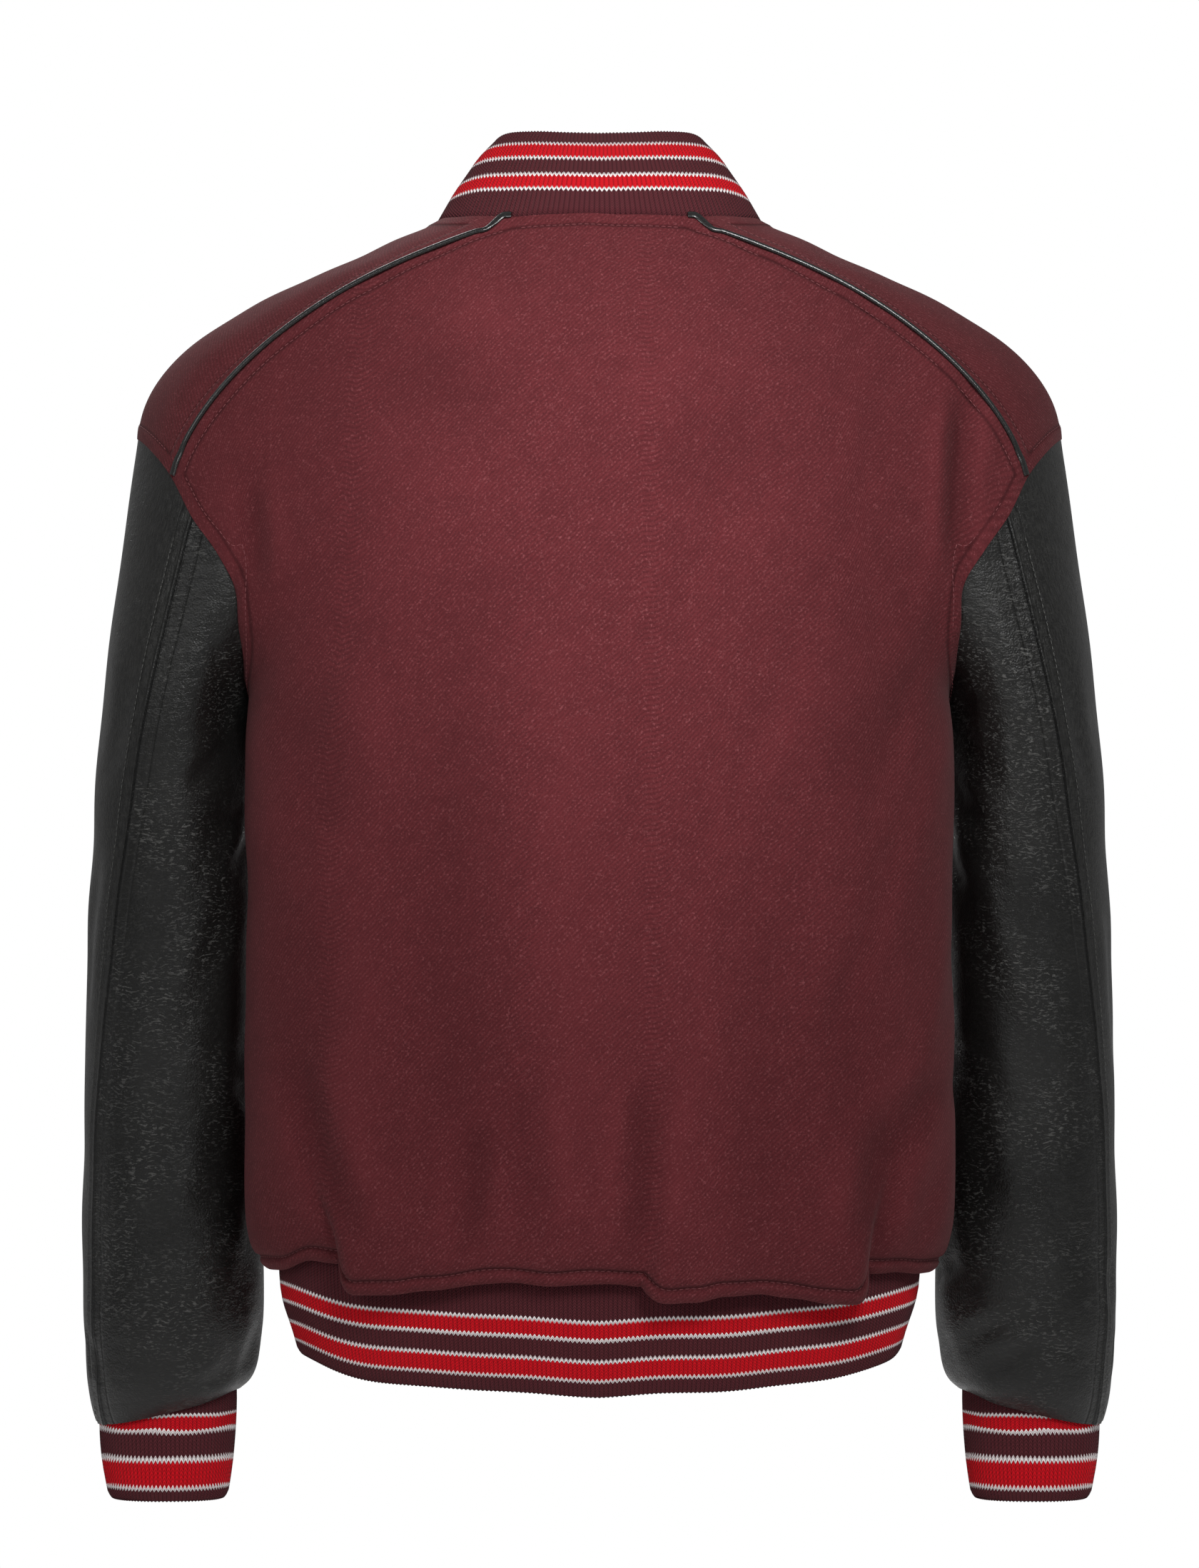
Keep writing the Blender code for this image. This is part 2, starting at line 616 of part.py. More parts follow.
def collar_outline(places):
    """Rows of the collar, which leans inwards from the neck seam to its folded top edge."""
    half = spline(points(COLLAR_TOP, "x", "y", "z"), np.linspace(8, 0, 120))
    edge = neck_edge()
    trim = COLLAR_END_GAP / np.linalg.norm(np.diff(edge, axis=0), axis=1).sum()
    places = trim + places * (1 - 2 * trim)
    top = resampled(np.concatenate([half, mirrored(half)[-2::-1]]), places)
    low = resampled(edge, places)
    rise = top - low
    out = np.cross(np.gradient(low, axis=0), rise)
    out /= np.linalg.norm(out, axis=1, keepdims=True)
    start = COLLAR_LIFT * rise / np.linalg.norm(rise, axis=1, keepdims=True)
    shares = np.linspace(0, 1, len(COLLAR_BOW))
    rows = [low + start + (rise - start) * share + out * bow for share, bow in zip(shares, COLLAR_BOW)]
    return np.array(rows)


def rib_bands(knit):
    rib_band("hem_rib", hem_outline, HEM_RIBS, False, knit, flip=True)
    rib_band("collar_rib", collar_outline, COLLAR_RIBS, False, knit)
    rib_band("cuff_left", cuff_outline, CUFF_RIBS, True, knit, flip=True)
    rib_band("cuff_right", lambda places: mirrored(cuff_outline(places)), CUFF_RIBS, True, knit)


# --- Trim ---


def piping(leather):
    """A leather cord on each piped seam, moved out from the panels' points."""
    t = np.linspace(0.015, 0.985, 26)
    seam = piped_seam(t)
    out = spline(body_grids()[1][-1, -PANEL_COLUMNS - 1 :], t * PANEL_COLUMNS)
    out /= np.linalg.norm(out, axis=1, keepdims=True)
    route = seam + out * (PIPING_RADIUS + SEAM_GAP)
    for side, line in (("left", route), ("right", mirrored(route))):
        curve = bpy.data.curves.new(f"piping_{side}", "CURVE")
        curve.dimensions = "3D"
        curve.bevel_depth = PIPING_RADIUS
        curve.bevel_resolution = 1
        curve.use_fill_caps = True
        curve.materials.append(leather)
        spline_line = curve.splines.new("POLY")
        spline_line.points.add(len(line) - 1)
        for point, place in zip(spline_line.points, line):
            point.co = (*place, 1)
        made = bpy.data.objects.new(f"piping_{side}", curve)
        bpy.data.collections["VarsityJacket"].objects.link(made)


def studs(metal):
    """Press studs down the middle of the front, and one on the hem band. Each is a turned cap that
    faces the way its cloth does and stands just clear of the highest cloth under it."""
    front = front_grid(under=False)[0][front_controls()[0] <= NECK_POINT]
    before, middle, after = (front[:, OVERLAP_COLUMNS + step] for step in (-1, 0, 1))
    beside = middle + (after - middle) * (STUD_RADIUS / after[:, :1])
    band = hem_outline(np.array([FRONT_OVERLAP]))[1:3, 0, 1:]
    band[:, 0] -= RIB_RELIEF / 2
    for number, z in enumerate((*STUD_HEIGHTS, band[:, 1].mean()), 1):
        if number > len(STUD_HEIGHTS):
            lines = [band[::-1]]
        else:
            lines = [middle[:, 1:], before[:, 1:], beside[:, 1:]]
        rise = np.array([-STUD_RADIUS, 0, STUD_RADIUS])
        y = np.array([np.interp(z + rise, line[:, 1], line[:, 0]) for line in lines])
        facing = np.arctan2(1, (y[0, 2] - y[0, 0]) / (2 * STUD_RADIUS))
        out = np.array([0, -np.sin(facing), np.cos(facing)])
        cloth = ((y - y[0, 1]) * out[1] + rise * out[2]).max()
        mesh = bpy.data.meshes.new(f"stud_{number}")
        form = bmesh.new()
        bmesh.ops.create_cone(
            form, cap_ends=True, segments=STUD_FACETS, depth=STUD_HEIGHT, radius1=STUD_RADIUS, radius2=STUD_TOP_RADIUS
        )
        form.to_mesh(mesh)
        form.free()
        mesh.materials.append(metal)
        made = bpy.data.objects.new(mesh.name, mesh)
        made.location = np.array([0, y[0, 1], z]) + out * (cloth + STUD_GAP + STUD_HEIGHT / 2)
        made.rotation_euler = (facing, 0, 0)
        bpy.data.collections["VarsityJacket"].objects.link(made)


def main():
    for old in list(bpy.data.objects):
        bpy.data.objects.remove(old, do_unlink=True)
    collection_named("VarsityJacket")
    wool = material("wool melton", (0.11, 0.022, 0.027), 0.95)
    leather = material("black leather", (0.014, 0.014, 0.013), 0.42)
    knit = material("striped rib", (0.09, 0.02, 0.026), 0.9)
    metal = material("dark metal", (0.10, 0.09, 0.09), 0.3, 1.0)
    body_panels(wool)
    sleeve_panels(leather)
    rib_bands(knit)
    piping(leather)
    studs(metal)


main()
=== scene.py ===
"""A varsity jacket as its maker sews it, filled out by an unseen wearer.

The body is wool, the two-piece sleeves are leather, and the collar, cuffs and hem are striped rib.
The shoulder seams are set to the back and piped with leather, and press studs close the front.
The origin is the middle of the neck's base. +Z is up, +Y the wearer's back and +X the wearer's left.
Tables are in millimetres, apart from the columns that table() names. Other lengths are in metres.
"""

import math

import bpy
import numpy as np
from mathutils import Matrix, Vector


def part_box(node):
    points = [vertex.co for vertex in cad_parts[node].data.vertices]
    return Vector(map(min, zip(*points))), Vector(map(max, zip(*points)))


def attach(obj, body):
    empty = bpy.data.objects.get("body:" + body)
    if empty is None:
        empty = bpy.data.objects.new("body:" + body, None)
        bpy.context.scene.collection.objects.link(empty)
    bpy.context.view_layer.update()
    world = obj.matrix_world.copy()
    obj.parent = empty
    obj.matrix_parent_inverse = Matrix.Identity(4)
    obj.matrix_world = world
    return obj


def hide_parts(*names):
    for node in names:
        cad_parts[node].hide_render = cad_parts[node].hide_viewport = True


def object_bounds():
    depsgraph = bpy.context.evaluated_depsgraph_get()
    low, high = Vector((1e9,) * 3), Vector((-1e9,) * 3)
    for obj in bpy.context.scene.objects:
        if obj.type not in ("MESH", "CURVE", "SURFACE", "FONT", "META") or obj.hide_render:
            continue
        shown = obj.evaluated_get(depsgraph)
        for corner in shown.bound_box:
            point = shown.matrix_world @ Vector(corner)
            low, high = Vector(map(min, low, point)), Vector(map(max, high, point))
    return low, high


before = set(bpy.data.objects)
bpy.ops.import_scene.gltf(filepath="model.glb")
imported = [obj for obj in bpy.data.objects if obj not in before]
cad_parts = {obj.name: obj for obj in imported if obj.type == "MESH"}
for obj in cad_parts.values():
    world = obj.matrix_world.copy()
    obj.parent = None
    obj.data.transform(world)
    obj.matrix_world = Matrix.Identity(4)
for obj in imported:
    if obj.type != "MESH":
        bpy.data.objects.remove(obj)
CAD_BOX = [list(corner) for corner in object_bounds()]

bl_info = {
    "name": "Varsity Jacket",
    "version": (1, 0, 0),
    "blender": (4, 5, 0),
    "location": "View3D > Sidebar > Jacket",
    "description": "Sews a varsity jacket of wool, leather and striped rib round its solids",
    "category": "Add Mesh",
}

MM = 0.001

# Mesh density
HEM_ROWS = 18  # over the hem's rolled edge
SIDE_ROWS = 80  # from there to the underarm
BACK_ARM_ROWS = 70  # underarm to the piped seam, up the back of the armhole
FRONT_ARM_ROWS = 77  # underarm to the shoulder's tip, up the front of the armhole
SHOULDER_ROWS = 21  # the shoulder's tip to the piped seam
NECK_COLUMNS = 21  # middle of the back to the piping's end at the neck
PANEL_COLUMNS = 118  # along the piped seam
OVERLAP_COLUMNS = 12  # past the middle of the front
ARM_SHARE = 8  # points round the sleeve for each of the 21 parts of the armhole
SLEEVE_ROWS = 240
BAND_ROWS = 14  # down a rib band's outside
POINTS_PER_WALE = 4
FINE_POINTS = 240  # on a curve that a grid's points are read from
SEAM_POINTS, NECK_SEAM_POINTS = 120, 200  # on the piped seam and the neck seam, for distances from them
PIPING_POINTS = 200
PIPING_SIDES, THREAD_SIDES, STUD_FACETS = 12, 5, 48
CLOTH_SHARP, CORD_SHARP = 50, 60  # the angles in degrees from which edges look sharp

# Details
SEAM_GAP = 0.0003
FRONT_OVERLAP = 0.014
OVERLAP_BLEND = 0.045
TOPSTITCH_INSET = 0.008
HEM_STITCH = 0.0094
SLEEVE_STITCH = 0.0087
HEM_WALES, COLLAR_WALES, CUFF_WALES = 400, 200, 92


def table(columns, rows):
    """A dict of arrays, one for each named column, in metres from rows in millimetres. The columns of
    heights, places, turns and shares named here are kept as they are."""
    plain = ("v", "neck", "turn", "side", "share", "start")
    values = np.array(rows, float).T
    return {name: line if name in plain else line * MM for name, line in zip(columns.split(), values)}


def points(rows, *names):
    """The named columns of a table, side by side."""
    return np.stack([rows[name] for name in names], axis=-1)


# The neck seam, from the middle of the back round the wearer's left side to the middle of the front.
NECK = table("x y z", [
    (0, 72, 6), (26, 71, 6), (50, 65, 5), (80, 44, 6), (95, 10, 7),
    (89, -34, -9), (67, -67, -37), (35, -88, -61), (0, -95, -70),
])  # fmt: skip

# The top edge of the collar, over the same stretch.
COLLAR_TOP = table("x y z", [
    (0, 34, 57.5), (19, 33, 58), (38, 28, 59), (56, 12, 58.5), (62, -10, 52),
    (56, -32, 38), (42, -55, 15), (22, -70, -2), (0, -75, -8),
])  # fmt: skip

# The piped seam: a Bezier curve from the neck to the armhole.
PIPED_SEAM = table("x y z", [(50, 65, 5), (115, 60, -14), (226, 66, -70), (247, 58, -146)])

# The left armhole, from the underarm up the back, over the shoulder's tip and down the front.
# `turn` is the place round the sleeve that the cloth below hangs to: 0 outside, 90 back, 180 inside.
ARMHOLE = table("x y z turn", [
    (197, -12, -278, 180), (205, 28, -263, 150), (207.5, 62, -237, 124), (210, 73, -208, 108),
    (221, 75, -189, 95), (235, 70, -169, 78), (247, 58, -146, 54), (271.5, -8, -120, 0),
    (250, -53, -139, -52), (221, -86, -171, -82), (197, -93, -205, -103), (185, -86, -236, -122),
    (186, -58, -264, -150), (197, -12, -278, -180),
])  # fmt: skip
PIPING_KNOT, TIP_KNOT = 6, 7
ARM_PARTS_BACK, ARM_PARTS_SHOULDER, ARM_PARTS_FRONT = 7, 3, 11
ARM_PARTS_TO_NECK_POINT = 5  # of the parts up the front
BACK_SEAM_PART, FRONT_SEAM_PART = 6, 3

# The left side seam, from the hem to the underarm.
SIDE_SEAM = table("v x y z", [
    (0.00, 185, -5, -609), (0.03, 192, -5, -600), (0.08, 197, -5, -584), (0.20, 198, -5, -512),
    (0.34, 197, -5, -420), (0.47, 196, -8, -335), (0.55, 197, -12, -278),
])  # fmt: skip
UNDERARM = SIDE_SEAM["v"][-1]
HEM_BEND, HEM_TOP = 0.03, 0.08

# The distance up the cloth from the hem's edge to a height v, near the hem.
HEM_HEIGHTS = np.array([(0, 0), (HEM_BEND, 0.0100), (HEM_TOP, 0.0255), (0.2, 0.098)])

# The back, at heights v from the hem to the piped seam. A section runs from the middle of the back
# (y, z) with a handle `reach` long that falls by `fall`, to the side, which it meets from the point
# (side_x, side_y, side_z).
BACK = table("v y z reach fall side_x side_y side_z", [
    (0.00, 121, -603, 112, 0, 216, 80, -609), (0.03, 129, -594, 115, 0, 230, 86, -600),
    (0.08, 134, -579, 118, 0, 239, 91, -584), (0.20, 137, -500, 118, 0, 240, 92, -512),
    (0.38, 138, -372, 118, 0, 240, 92, -395), (0.55, 136, -250, 116, 2, 237, 94, -290),
    (0.60, 134, -218, 115, 3, 222, 95, -266),
    (0.66, 131, -178, 112, 4, 217, 92, -240), (0.78, 122, -112, 106, 6, 216, 90, -190),
    (0.88, 106, -56, 100, 7, 218, 84, -142), (0.95, 88, -19, 94, 5, 222, 75, -103),
    (1.00, 72, 6, 90, 2, 226, 66, -70),
])  # fmt: skip
BACK_NECK_SHARE = 0.17  # of the top section, from the middle to the piping's end
TOP_EASE = 0.28  # the heights over which the sections ease into the seams at the top

# The left front, at the same heights up to the underarm and then over the shoulder to the piped seam.
# A section starts at the middle of the front (y, z) or, from the neck point up, at the place `neck`
# counted along the neck table's rows. It leaves for the point (in_x, in_y, in_z) and comes to the
# outer edge from the point (out_x, out_y, out_z).
FRONT = table("v neck y z in_x in_y in_z out_x out_y out_z", [
    (0.00, 8, -124, -602, 108, -124, -602, 171, -87, -609),
    (0.03, 8, -131, -594, 112, -131, -594, 178, -91, -600),
    (0.08, 8, -136, -578, 114, -136, -578, 181, -93, -584),
    (0.20, 8, -139, -500, 114, -139, -500, 182, -95, -512),
    (0.38, 8, -140, -360, 112, -140, -360, 181, -97, -395),
    (0.55, 8, -131, -205, 106, -134, -208, 178, -98, -275),
    (0.62, 8, -117, -138, 94, -126, -146, 170, -104, -232),
    (0.70, 8, -95, -70, 84, -113, -92, 164, -114, -190),
    (0.76, 7.2, -95, -70, 108, -99, -70, 172, -112, -156),
    (0.84, 5.8, -95, -70, 138, -62, -42, 203, -92, -112),
    (0.88, 4.9, -95, -70, 150, -30, -31, 238, -58, -82),
    (0.92, 4, -95, -70, 156, 4, -26, 271.5, -8, -54),
    (0.96, 2.9, -95, -70, 142, 38, -20, 252, 38, -58),
    (1.00, 2, -95, -70, 115, 60, -14, 226, 66, -70),
])  # fmt: skip
NECK_POINT = 0.70
SHOULDER_TIP = 0.92

# The sleeve's rings below the armhole. `lean` raises the outer side over the inner one.
SLEEVE = table("x y z wide deep lean", [
    (248, -12, -292, 43.5, 79, 30), (252.5, -20, -378, 47.5, 72, 10), (255, -32, -490, 50, 66, 0),
    (254, -40, -592, 53, 63, 0), (254, -45, -652, 52, 61, 0), (256.5, -47, -683, 47, 49, -5),
    (257, -47, -690, 43, 37, -8),
])  # fmt: skip
RINGS = len(SLEEVE["x"])
SLEEVE_SQUARING = 0.92  # the power that flattens a ring's outer and inner sides

# The sleeve's back seam turns from the back of the arm at the top to its outer side at the wrist. Here
# v counts the rings down from the armhole.
BACK_SEAM_TURN = table("v turn", [(0, 78), (1, 72), (2, 60), (3, 43), (4, 35), (7, 35)])

# The sleeve is drawn in below the armhole, where it faces the body, and eases out down the rings.
UNDERARM_TUCK = 0.018
TUCK_START, TUCK_FADE = 0.33, 1.7
SLEEVE_SAG, SAG_ROWS = 0.006, 60  # how far its end hangs at the back, and over which rows

# Rib bands, as rows from the seam to the free edge: the drop below the seam and the inset from it.
HEM_BAND = table("drop inset", [(-18, 3.5), (0.5, 3.7), (46, 10), (71, 15)])
HEM_SIDE_RISE, HEM_RISE_BEND = 0.024, 1.15
HEM_SINK = 0.0095  # the covered front's depth at the hem, where the other front's rib lies over it
SINK_FADE = 0.12  # the heights over which that depth eases to the wool's, and at the neck to nothing
HEM_SWELL, HEM_RIPPLE, RIPPLE_REACH = 0.0009, 0.0011, 0.03  # the rib's slow waves, out and down
HEM_CALM = 0.06  # beside the middle of the front, where it has none
RIGHT_END_START = 0.75  # the share of the way round past which the band is its right end
CUFF_BAND = table("drop inset", [(-6, 2.6), (6, 2.4), (34, 4.2), (58, 8)])
BAND_ROUND, BAND_ROUNDING = 0.006, 0.4  # the rib's rounding towards its free edge: its reach and share
BAND_EDGE = 0.008  # the stretch at the free edge with rows of its own
EDGE_DROPS = np.array([5, 2.5, 1, 0]) * MM  # those rows, over the free edge

# How far the wool hangs below the rib's seam. Each fold adds its `drop` to the line on its `side`,
# where the cloth lies `over` the other side. A fold runs up from x to top_x, FOLD_REACH higher.
BACK_HEM = table("x sag", [
    (-185, -26.5), (-170, -27.5), (-152, -27), (-127, -28), (-105, -31.5), (-89, -32.5), (-71, -32),
    (-53, -28.5), (-39, -27.5), (-22, -28.5), (0, -30.5), (26, -28.5), (52, -31.5), (97, -27),
    (117, -25), (148, -24.5), (166, -26), (185, -19.5),
])  # fmt: skip
BACK_FOLDS = table("x top_x side drop over", [
    (-151, -171, 1, 17.5, 7), (-26, -44, -1, 8, 6), (146, 172, -1, 18, 7),
])  # fmt: skip
LEFT_HEM = table("x sag", [(0, -11), (40, -10), (75, -9), (110, -8), (150, -6), (185, 0)])
LEFT_FOLDS = table("x top_x side drop over", [(126, 138, -1, 11, 5)])
RIGHT_HEM = table("x sag", [(0, -11), (35, -10), (90, -8), (130, -6), (160, -5), (185, 0)])
RIGHT_FOLDS = table("x top_x side drop over", [(98, 90, -1, 6, 4), (150, 164, -1, 7, 4)])
HANG_REACH = 0.1  # how far up the cloth the sag fades out
FOLD_REACH, FOLD_BEND = 0.08, 1.2  # a fold's reach, and the power that bends its line
FOLD_LEAD, FOLD_STEP, FOLD_SOFTENING = 0.0015, 0.014, 0.24  # the step's start, width and growth upwards
FOLD_SPREAD = 0.05  # of the swell on a fold's own side
LIP_SHARE, LIP_SPREAD = 0.2, 0.012  # of the dip on its other side
HEM_BELLY = 0.3  # the cloth's swell where it hangs low, against its sag
COLLAR_BOW = (0.0, 0.0022, 0.0026, 0.0)
COLLAR_LIFT, COLLAR_END_GAP = 0.0006, 0.0010
RING_SMOOTH = 0.03
STUD_HEIGHTS = (-0.100, -0.187, -0.274, -0.361, -0.448, -0.535)

# The rib's stripes from its free edge up: where each one ends on the hem and collar, and on a cuff.
STRIPES = (
    ("dark", 0.0114, 0.0087), ("white", 0.0132, 0.0120), ("red", 0.0229, 0.0264),
    ("white", 0.0247, 0.0298), ("dark", 0.0355, 0.0436), ("white", 0.0373, 0.0470),
    ("red", 0.0460, 0.0530), ("white", 0.0478, 0.0555), ("dark", 0.1, 0.1),
)  # fmt: skip
STRIPE_SPAN = 0.1

# Creases of the wool: soft troughs from one end to the other as they show face on, with their bow.
BACK_CREASES = table("x1 z1 x2 z2 bow width depth", [
    (-212, -84, -205, -212, 2, 7, 4.4), (201, -138, 199, -222, -2, 7, 2.4),
    (-190, -252, -140, -345, 9, 20, 2.0), (186, -262, 150, -360, -9, 20, 1.8),
    (-110, -110, -30, -165, 7, 26, 1.6), (130, -70, 36, -112, 6, 24, 1.8),
    (176, -462, 132, -592, 7, 10, 3.0), (70, -500, 76, -602, -3, 9, 2.8),
    (46, -480, 34, -590, 3, 12, 1.8), (-30, -478, -24, -602, 3, 9, 3.0),
    (-160, -500, -150, -600, -3, 10, 2.8), (-206, -486, -164, -548, 6, 11, 2.8),
    (80, -200, 70, -620, 6, 32, 2.3), (-88, -340, -90, -620, -5, 20, 1.7),
    (-146, -390, -142, -560, 5, 19, 1.6), (168, -380, 172, -520, 4, 20, 1.2),
    (40, -190, 96, -270, 6, 26, 1.2),
])  # fmt: skip
LEFT_CREASES = table("x1 z1 x2 z2 bow width depth", [
    (196, -160, 190, -232, 2, 7, 2.8), (178, -252, 112, -340, 8, 18, 3.2),
    (60, -110, 156, -152, 6, 22, 1.8), (84, -480, 90, -596, -4, 11, 2.8),
    (126, -420, 118, -592, 4, 15, 2.8), (172, -460, 164, -580, 3, 12, 3.0),
    (36, -480, 32, -590, 2, 12, 1.8), (70, -230, 84, -440, 5, 24, 2.2),
    (140, -280, 134, -430, 5, 20, 2.0),
])  # fmt: skip
RIGHT_CREASES = table("x1 z1 x2 z2 bow width depth", [
    (195, -166, 189, -240, 2, 7, 2.4), (172, -262, 98, -362, 9, 20, 3.0),
    (66, -136, 160, -178, 5, 24, 1.7), (64, -500, 72, -594, 3, 11, 2.4),
    (128, -450, 146, -590, 5, 14, 3.0), (178, -440, 172, -570, -3, 11, 2.6),
    (96, -250, 88, -460, -5, 24, 2.2), (44, -400, 40, -560, 3, 18, 1.7),
])  # fmt: skip

# Creases of the sleeves: places round the arm, where a degree counts as a millimetre, and heights.
LEFT_SLEEVE_CREASES = table("turn1 z1 turn2 z2 bow width depth", [
    (150, -288, 104, -330, 6, 8, 1.9), (166, -330, 132, -352, 4, 7, 1.7),
    (170, -352, 140, -372, 4, 6, 1.4), (52, -230, 50, -330, 5, 9, 1.3),
    (48, -350, 42, -470, -4, 9, 1.6), (150, -500, 176, -520, 3, 7, 1.6),
    (120, -560, 172, -590, 8, 9, 1.4), (64, -640, 62, -684, 1, 4, 2.0),
    (74, -646, 78, -682, 1, 4, 1.3), (150, -650, 128, -680, 8, 6, 2.2),
    (168, -636, 150, -676, 7, 6, 1.7), (30, -650, 26, -684, 2, 5, 1.4),
    (-150, -300, -100, -352, 7, 9, 2.0), (-166, -350, -120, -386, 6, 8, 1.9),
    (-140, -452, -60, -476, 8, 9, 2.2), (-150, -486, -80, -500, 6, 8, 1.7),
    (-96, -560, -40, -600, 6, 10, 1.4), (-60, -648, -54, -684, 2, 5, 1.9),
    (-110, -650, -120, -684, 3, 6, 1.9), (-20, -560, -4, -640, 5, 10, 1.3),
])  # fmt: skip
RIGHT_SLEEVE_CREASES = table("turn1 z1 turn2 z2 bow width depth", [
    (156, -292, 112, -322, 6, 8, 2.0), (168, -322, 128, -350, 5, 8, 1.7),
    (172, -360, 146, -384, 4, 6, 1.4), (56, -240, 52, -340, 4, 8, 1.2),
    (44, -380, 38, -500, -4, 9, 1.4), (158, -560, 178, -584, 4, 7, 1.9),
    (150, -604, 176, -622, 4, 7, 1.7), (96, -652, 140, -676, 8, 6, 2.2),
    (104, -636, 156, -662, 8, 6, 1.9), (48, -636, 44, -682, 2, 5, 1.9),
    (70, -600, 60, -640, 3, 8, 1.3), (30, -650, 34, -684, -2, 5, 1.3),
    (-156, -306, -96, -344, 7, 9, 2.0), (-168, -344, -116, -392, 6, 8, 1.7),
    (-132, -440, -70, -470, 8, 9, 2.0), (-150, -476, -66, -506, 7, 8, 2.0),
    (-84, -566, -50, -616, 6, 10, 1.4), (-66, -646, -60, -684, 2, 5, 1.7),
    (-120, -648, -128, -684, 3, 6, 1.7),
])  # fmt: skip


# --- The sizes, the colours and the stage's settings ---


def length(name, description, default):
    """A length that the panel shows in the scene's units."""
    return bpy.props.FloatProperty(
        name=name, description=description, default=default, min=0, precision=4, unit="LENGTH"
    )


def colour(name, description, default):
    """A colour that the panel shows as a swatch."""
    return bpy.props.FloatVectorProperty(
        name=name, description=description, default=default, min=0, max=1, size=3, subtype="COLOR"
    )


class JacketSizes(bpy.types.PropertyGroup):
    """Sizes that a maker would change."""

    wool_wall: length("Wool", "Thickness of the body's wool", 0.0020)
    leather_wall: length("Leather", "Thickness of the sleeves' leather", 0.0015)
    rib_wall: length("Rib", "Thickness of the doubled rib bands", 0.0030)
    wale_height: length("Wale height", "How far a wale of the rib stands over its valley", 0.0007)
    lap_height: length("Lap height", "How far a topstitched seam allowance stands up", 0.0007)
    piping_radius: length("Piping radius", "Radius of the leather cord in the shoulder seams", 0.0016)
    stitch_length: length("Stitch length", "Length of a topstitch", 0.0028)
    stitch_gap: length("Stitch gap", "Gap between two topstitches", 0.0008)
    thread_radius: length("Thread radius", "Radius of the topstitching thread", 0.00028)
    unevenness: length("Unevenness", "How far the cloth strays from an even curve", 0.0007)
    stud_radius: length("Stud radius", "Radius of a press stud's cap", 0.0075)
    stud_height: length("Stud height", "Height of a press stud's cap", 0.0024)


class JacketColours(bpy.types.PropertyGroup):
    """The jacket's colours, as linear light."""

    wool: colour("Wool", "Maroon melton of the body", (0.110, 0.0200, 0.0240))
    leather: colour("Leather", "Black leather of the sleeves and piping", (0.0120, 0.0119, 0.0113))
    rib_dark: colour("Rib ground", "Ground of the rib bands", (0.105, 0.023, 0.029))
    rib_red: colour("Rib stripe", "Wide stripes of the rib bands", (0.70, 0.0070, 0.016))
    rib_white: colour("Rib edging", "Thin stripes of the rib bands", (0.98, 0.90, 0.90))
    wool_thread: colour("Wool thread", "Topstitching on the wool", (0.15, 0.035, 0.040))
    leather_thread: colour("Leather thread", "Topstitching on the leather", (0.07, 0.07, 0.066))
    stud: colour("Stud", "Enamel of the press studs", (0.03, 0.022, 0.022))


class StageSettings(bpy.types.PropertyGroup):
    """The floor, the lights and the camera."""

    floor_drop: length("Floor drop", "The floor's distance below the hem", 0.20)
    key_power: bpy.props.FloatProperty(
        name="Key light", description="Power of the main light", default=45.5, min=0, unit="POWER"
    )
    sky: bpy.props.FloatProperty(
        name="Sky", description="Strength of the even light from all round", default=0.26, min=0
    )
    camera_back: length("Camera distance", "The camera's distance behind the neck", 3.75)
    camera_height: bpy.props.FloatProperty(
        name="Camera height", description="The camera's height over the neck", default=-0.3228, unit="LENGTH"
    )


def sizes():
    return bpy.context.scene.jacket_sizes


def colours():
    return bpy.context.scene.jacket_colours


# --- Curves ---


def spline(knots, at, places=None):
    """Points on a smooth curve through `knots`. `at` counts along them, so 1.5 is midway between the
    second and the third. Slopes weigh the two neighbouring chords by their lengths, or by `places`."""
    knots, at = np.asarray(knots, float), np.asarray(at, float)
    if places is None:
        chords = np.linalg.norm(np.diff(knots, axis=0), axis=-1)[..., None]
    else:
        chords = np.diff(places).reshape((-1,) + (1,) * (knots.ndim - 1))
    rates = np.diff(knots, axis=0) / chords
    slopes = np.empty_like(knots)
    slopes[0], slopes[-1] = rates[0], rates[-1]
    slopes[1:-1] = (rates[:-1] * chords[1:] + rates[1:] * chords[:-1]) / (chords[1:] + chords[:-1])
    i = np.clip(at.astype(int), 0, len(knots) - 2)
    t = (at - i).reshape((-1,) + (1,) * (knots.ndim - 1))
    step = chords[i]
    return (
        (2 * t**3 - 3 * t**2 + 1) * knots[i]
        + (t**3 - 2 * t**2 + t) * step * slopes[i]
        + (3 * t**2 - 2 * t**3) * knots[i + 1]
        + (t**3 - t**2) * step * slopes[i + 1]
    )


def at_heights(rows, v, *names):
    """The named columns of a table read at heights v."""
    count = np.interp(v, rows["v"], np.arange(len(rows["v"])))
    return spline(points(rows, *names), count, rows["v"])


def bezier(controls, t):
    """Cubic Bezier sections: controls are rows of four points, and t the places along each."""
    a, b, c, d = (controls[:, i, None, :] for i in range(4))
    t = np.asarray(t)[None, :, None]
    return (1 - t) ** 3 * a + 3 * (1 - t) ** 2 * t * b + 3 * (1 - t) * t**2 * c + t**3 * d


def lengths_along(line, axis=0):
    """The distance from the start of a line, or of each line along an axis of a grid, to its points:
    the running sum of the steps between them."""
    steps = np.linalg.norm(np.diff(line, axis=axis), axis=-1)
    return np.concatenate([0 * np.take(steps, [0], axis), np.cumsum(steps, axis)], axis)


def even_places(knots, first, last, steps):
    """Places from knot `first` to knot `last` at even distances along the curve."""
    fine = np.linspace(first, last, 40 * abs(last - first) + 1)
    far = lengths_along(spline(knots, fine))
    return np.interp(np.linspace(0, far[-1], steps + 1), far, fine)


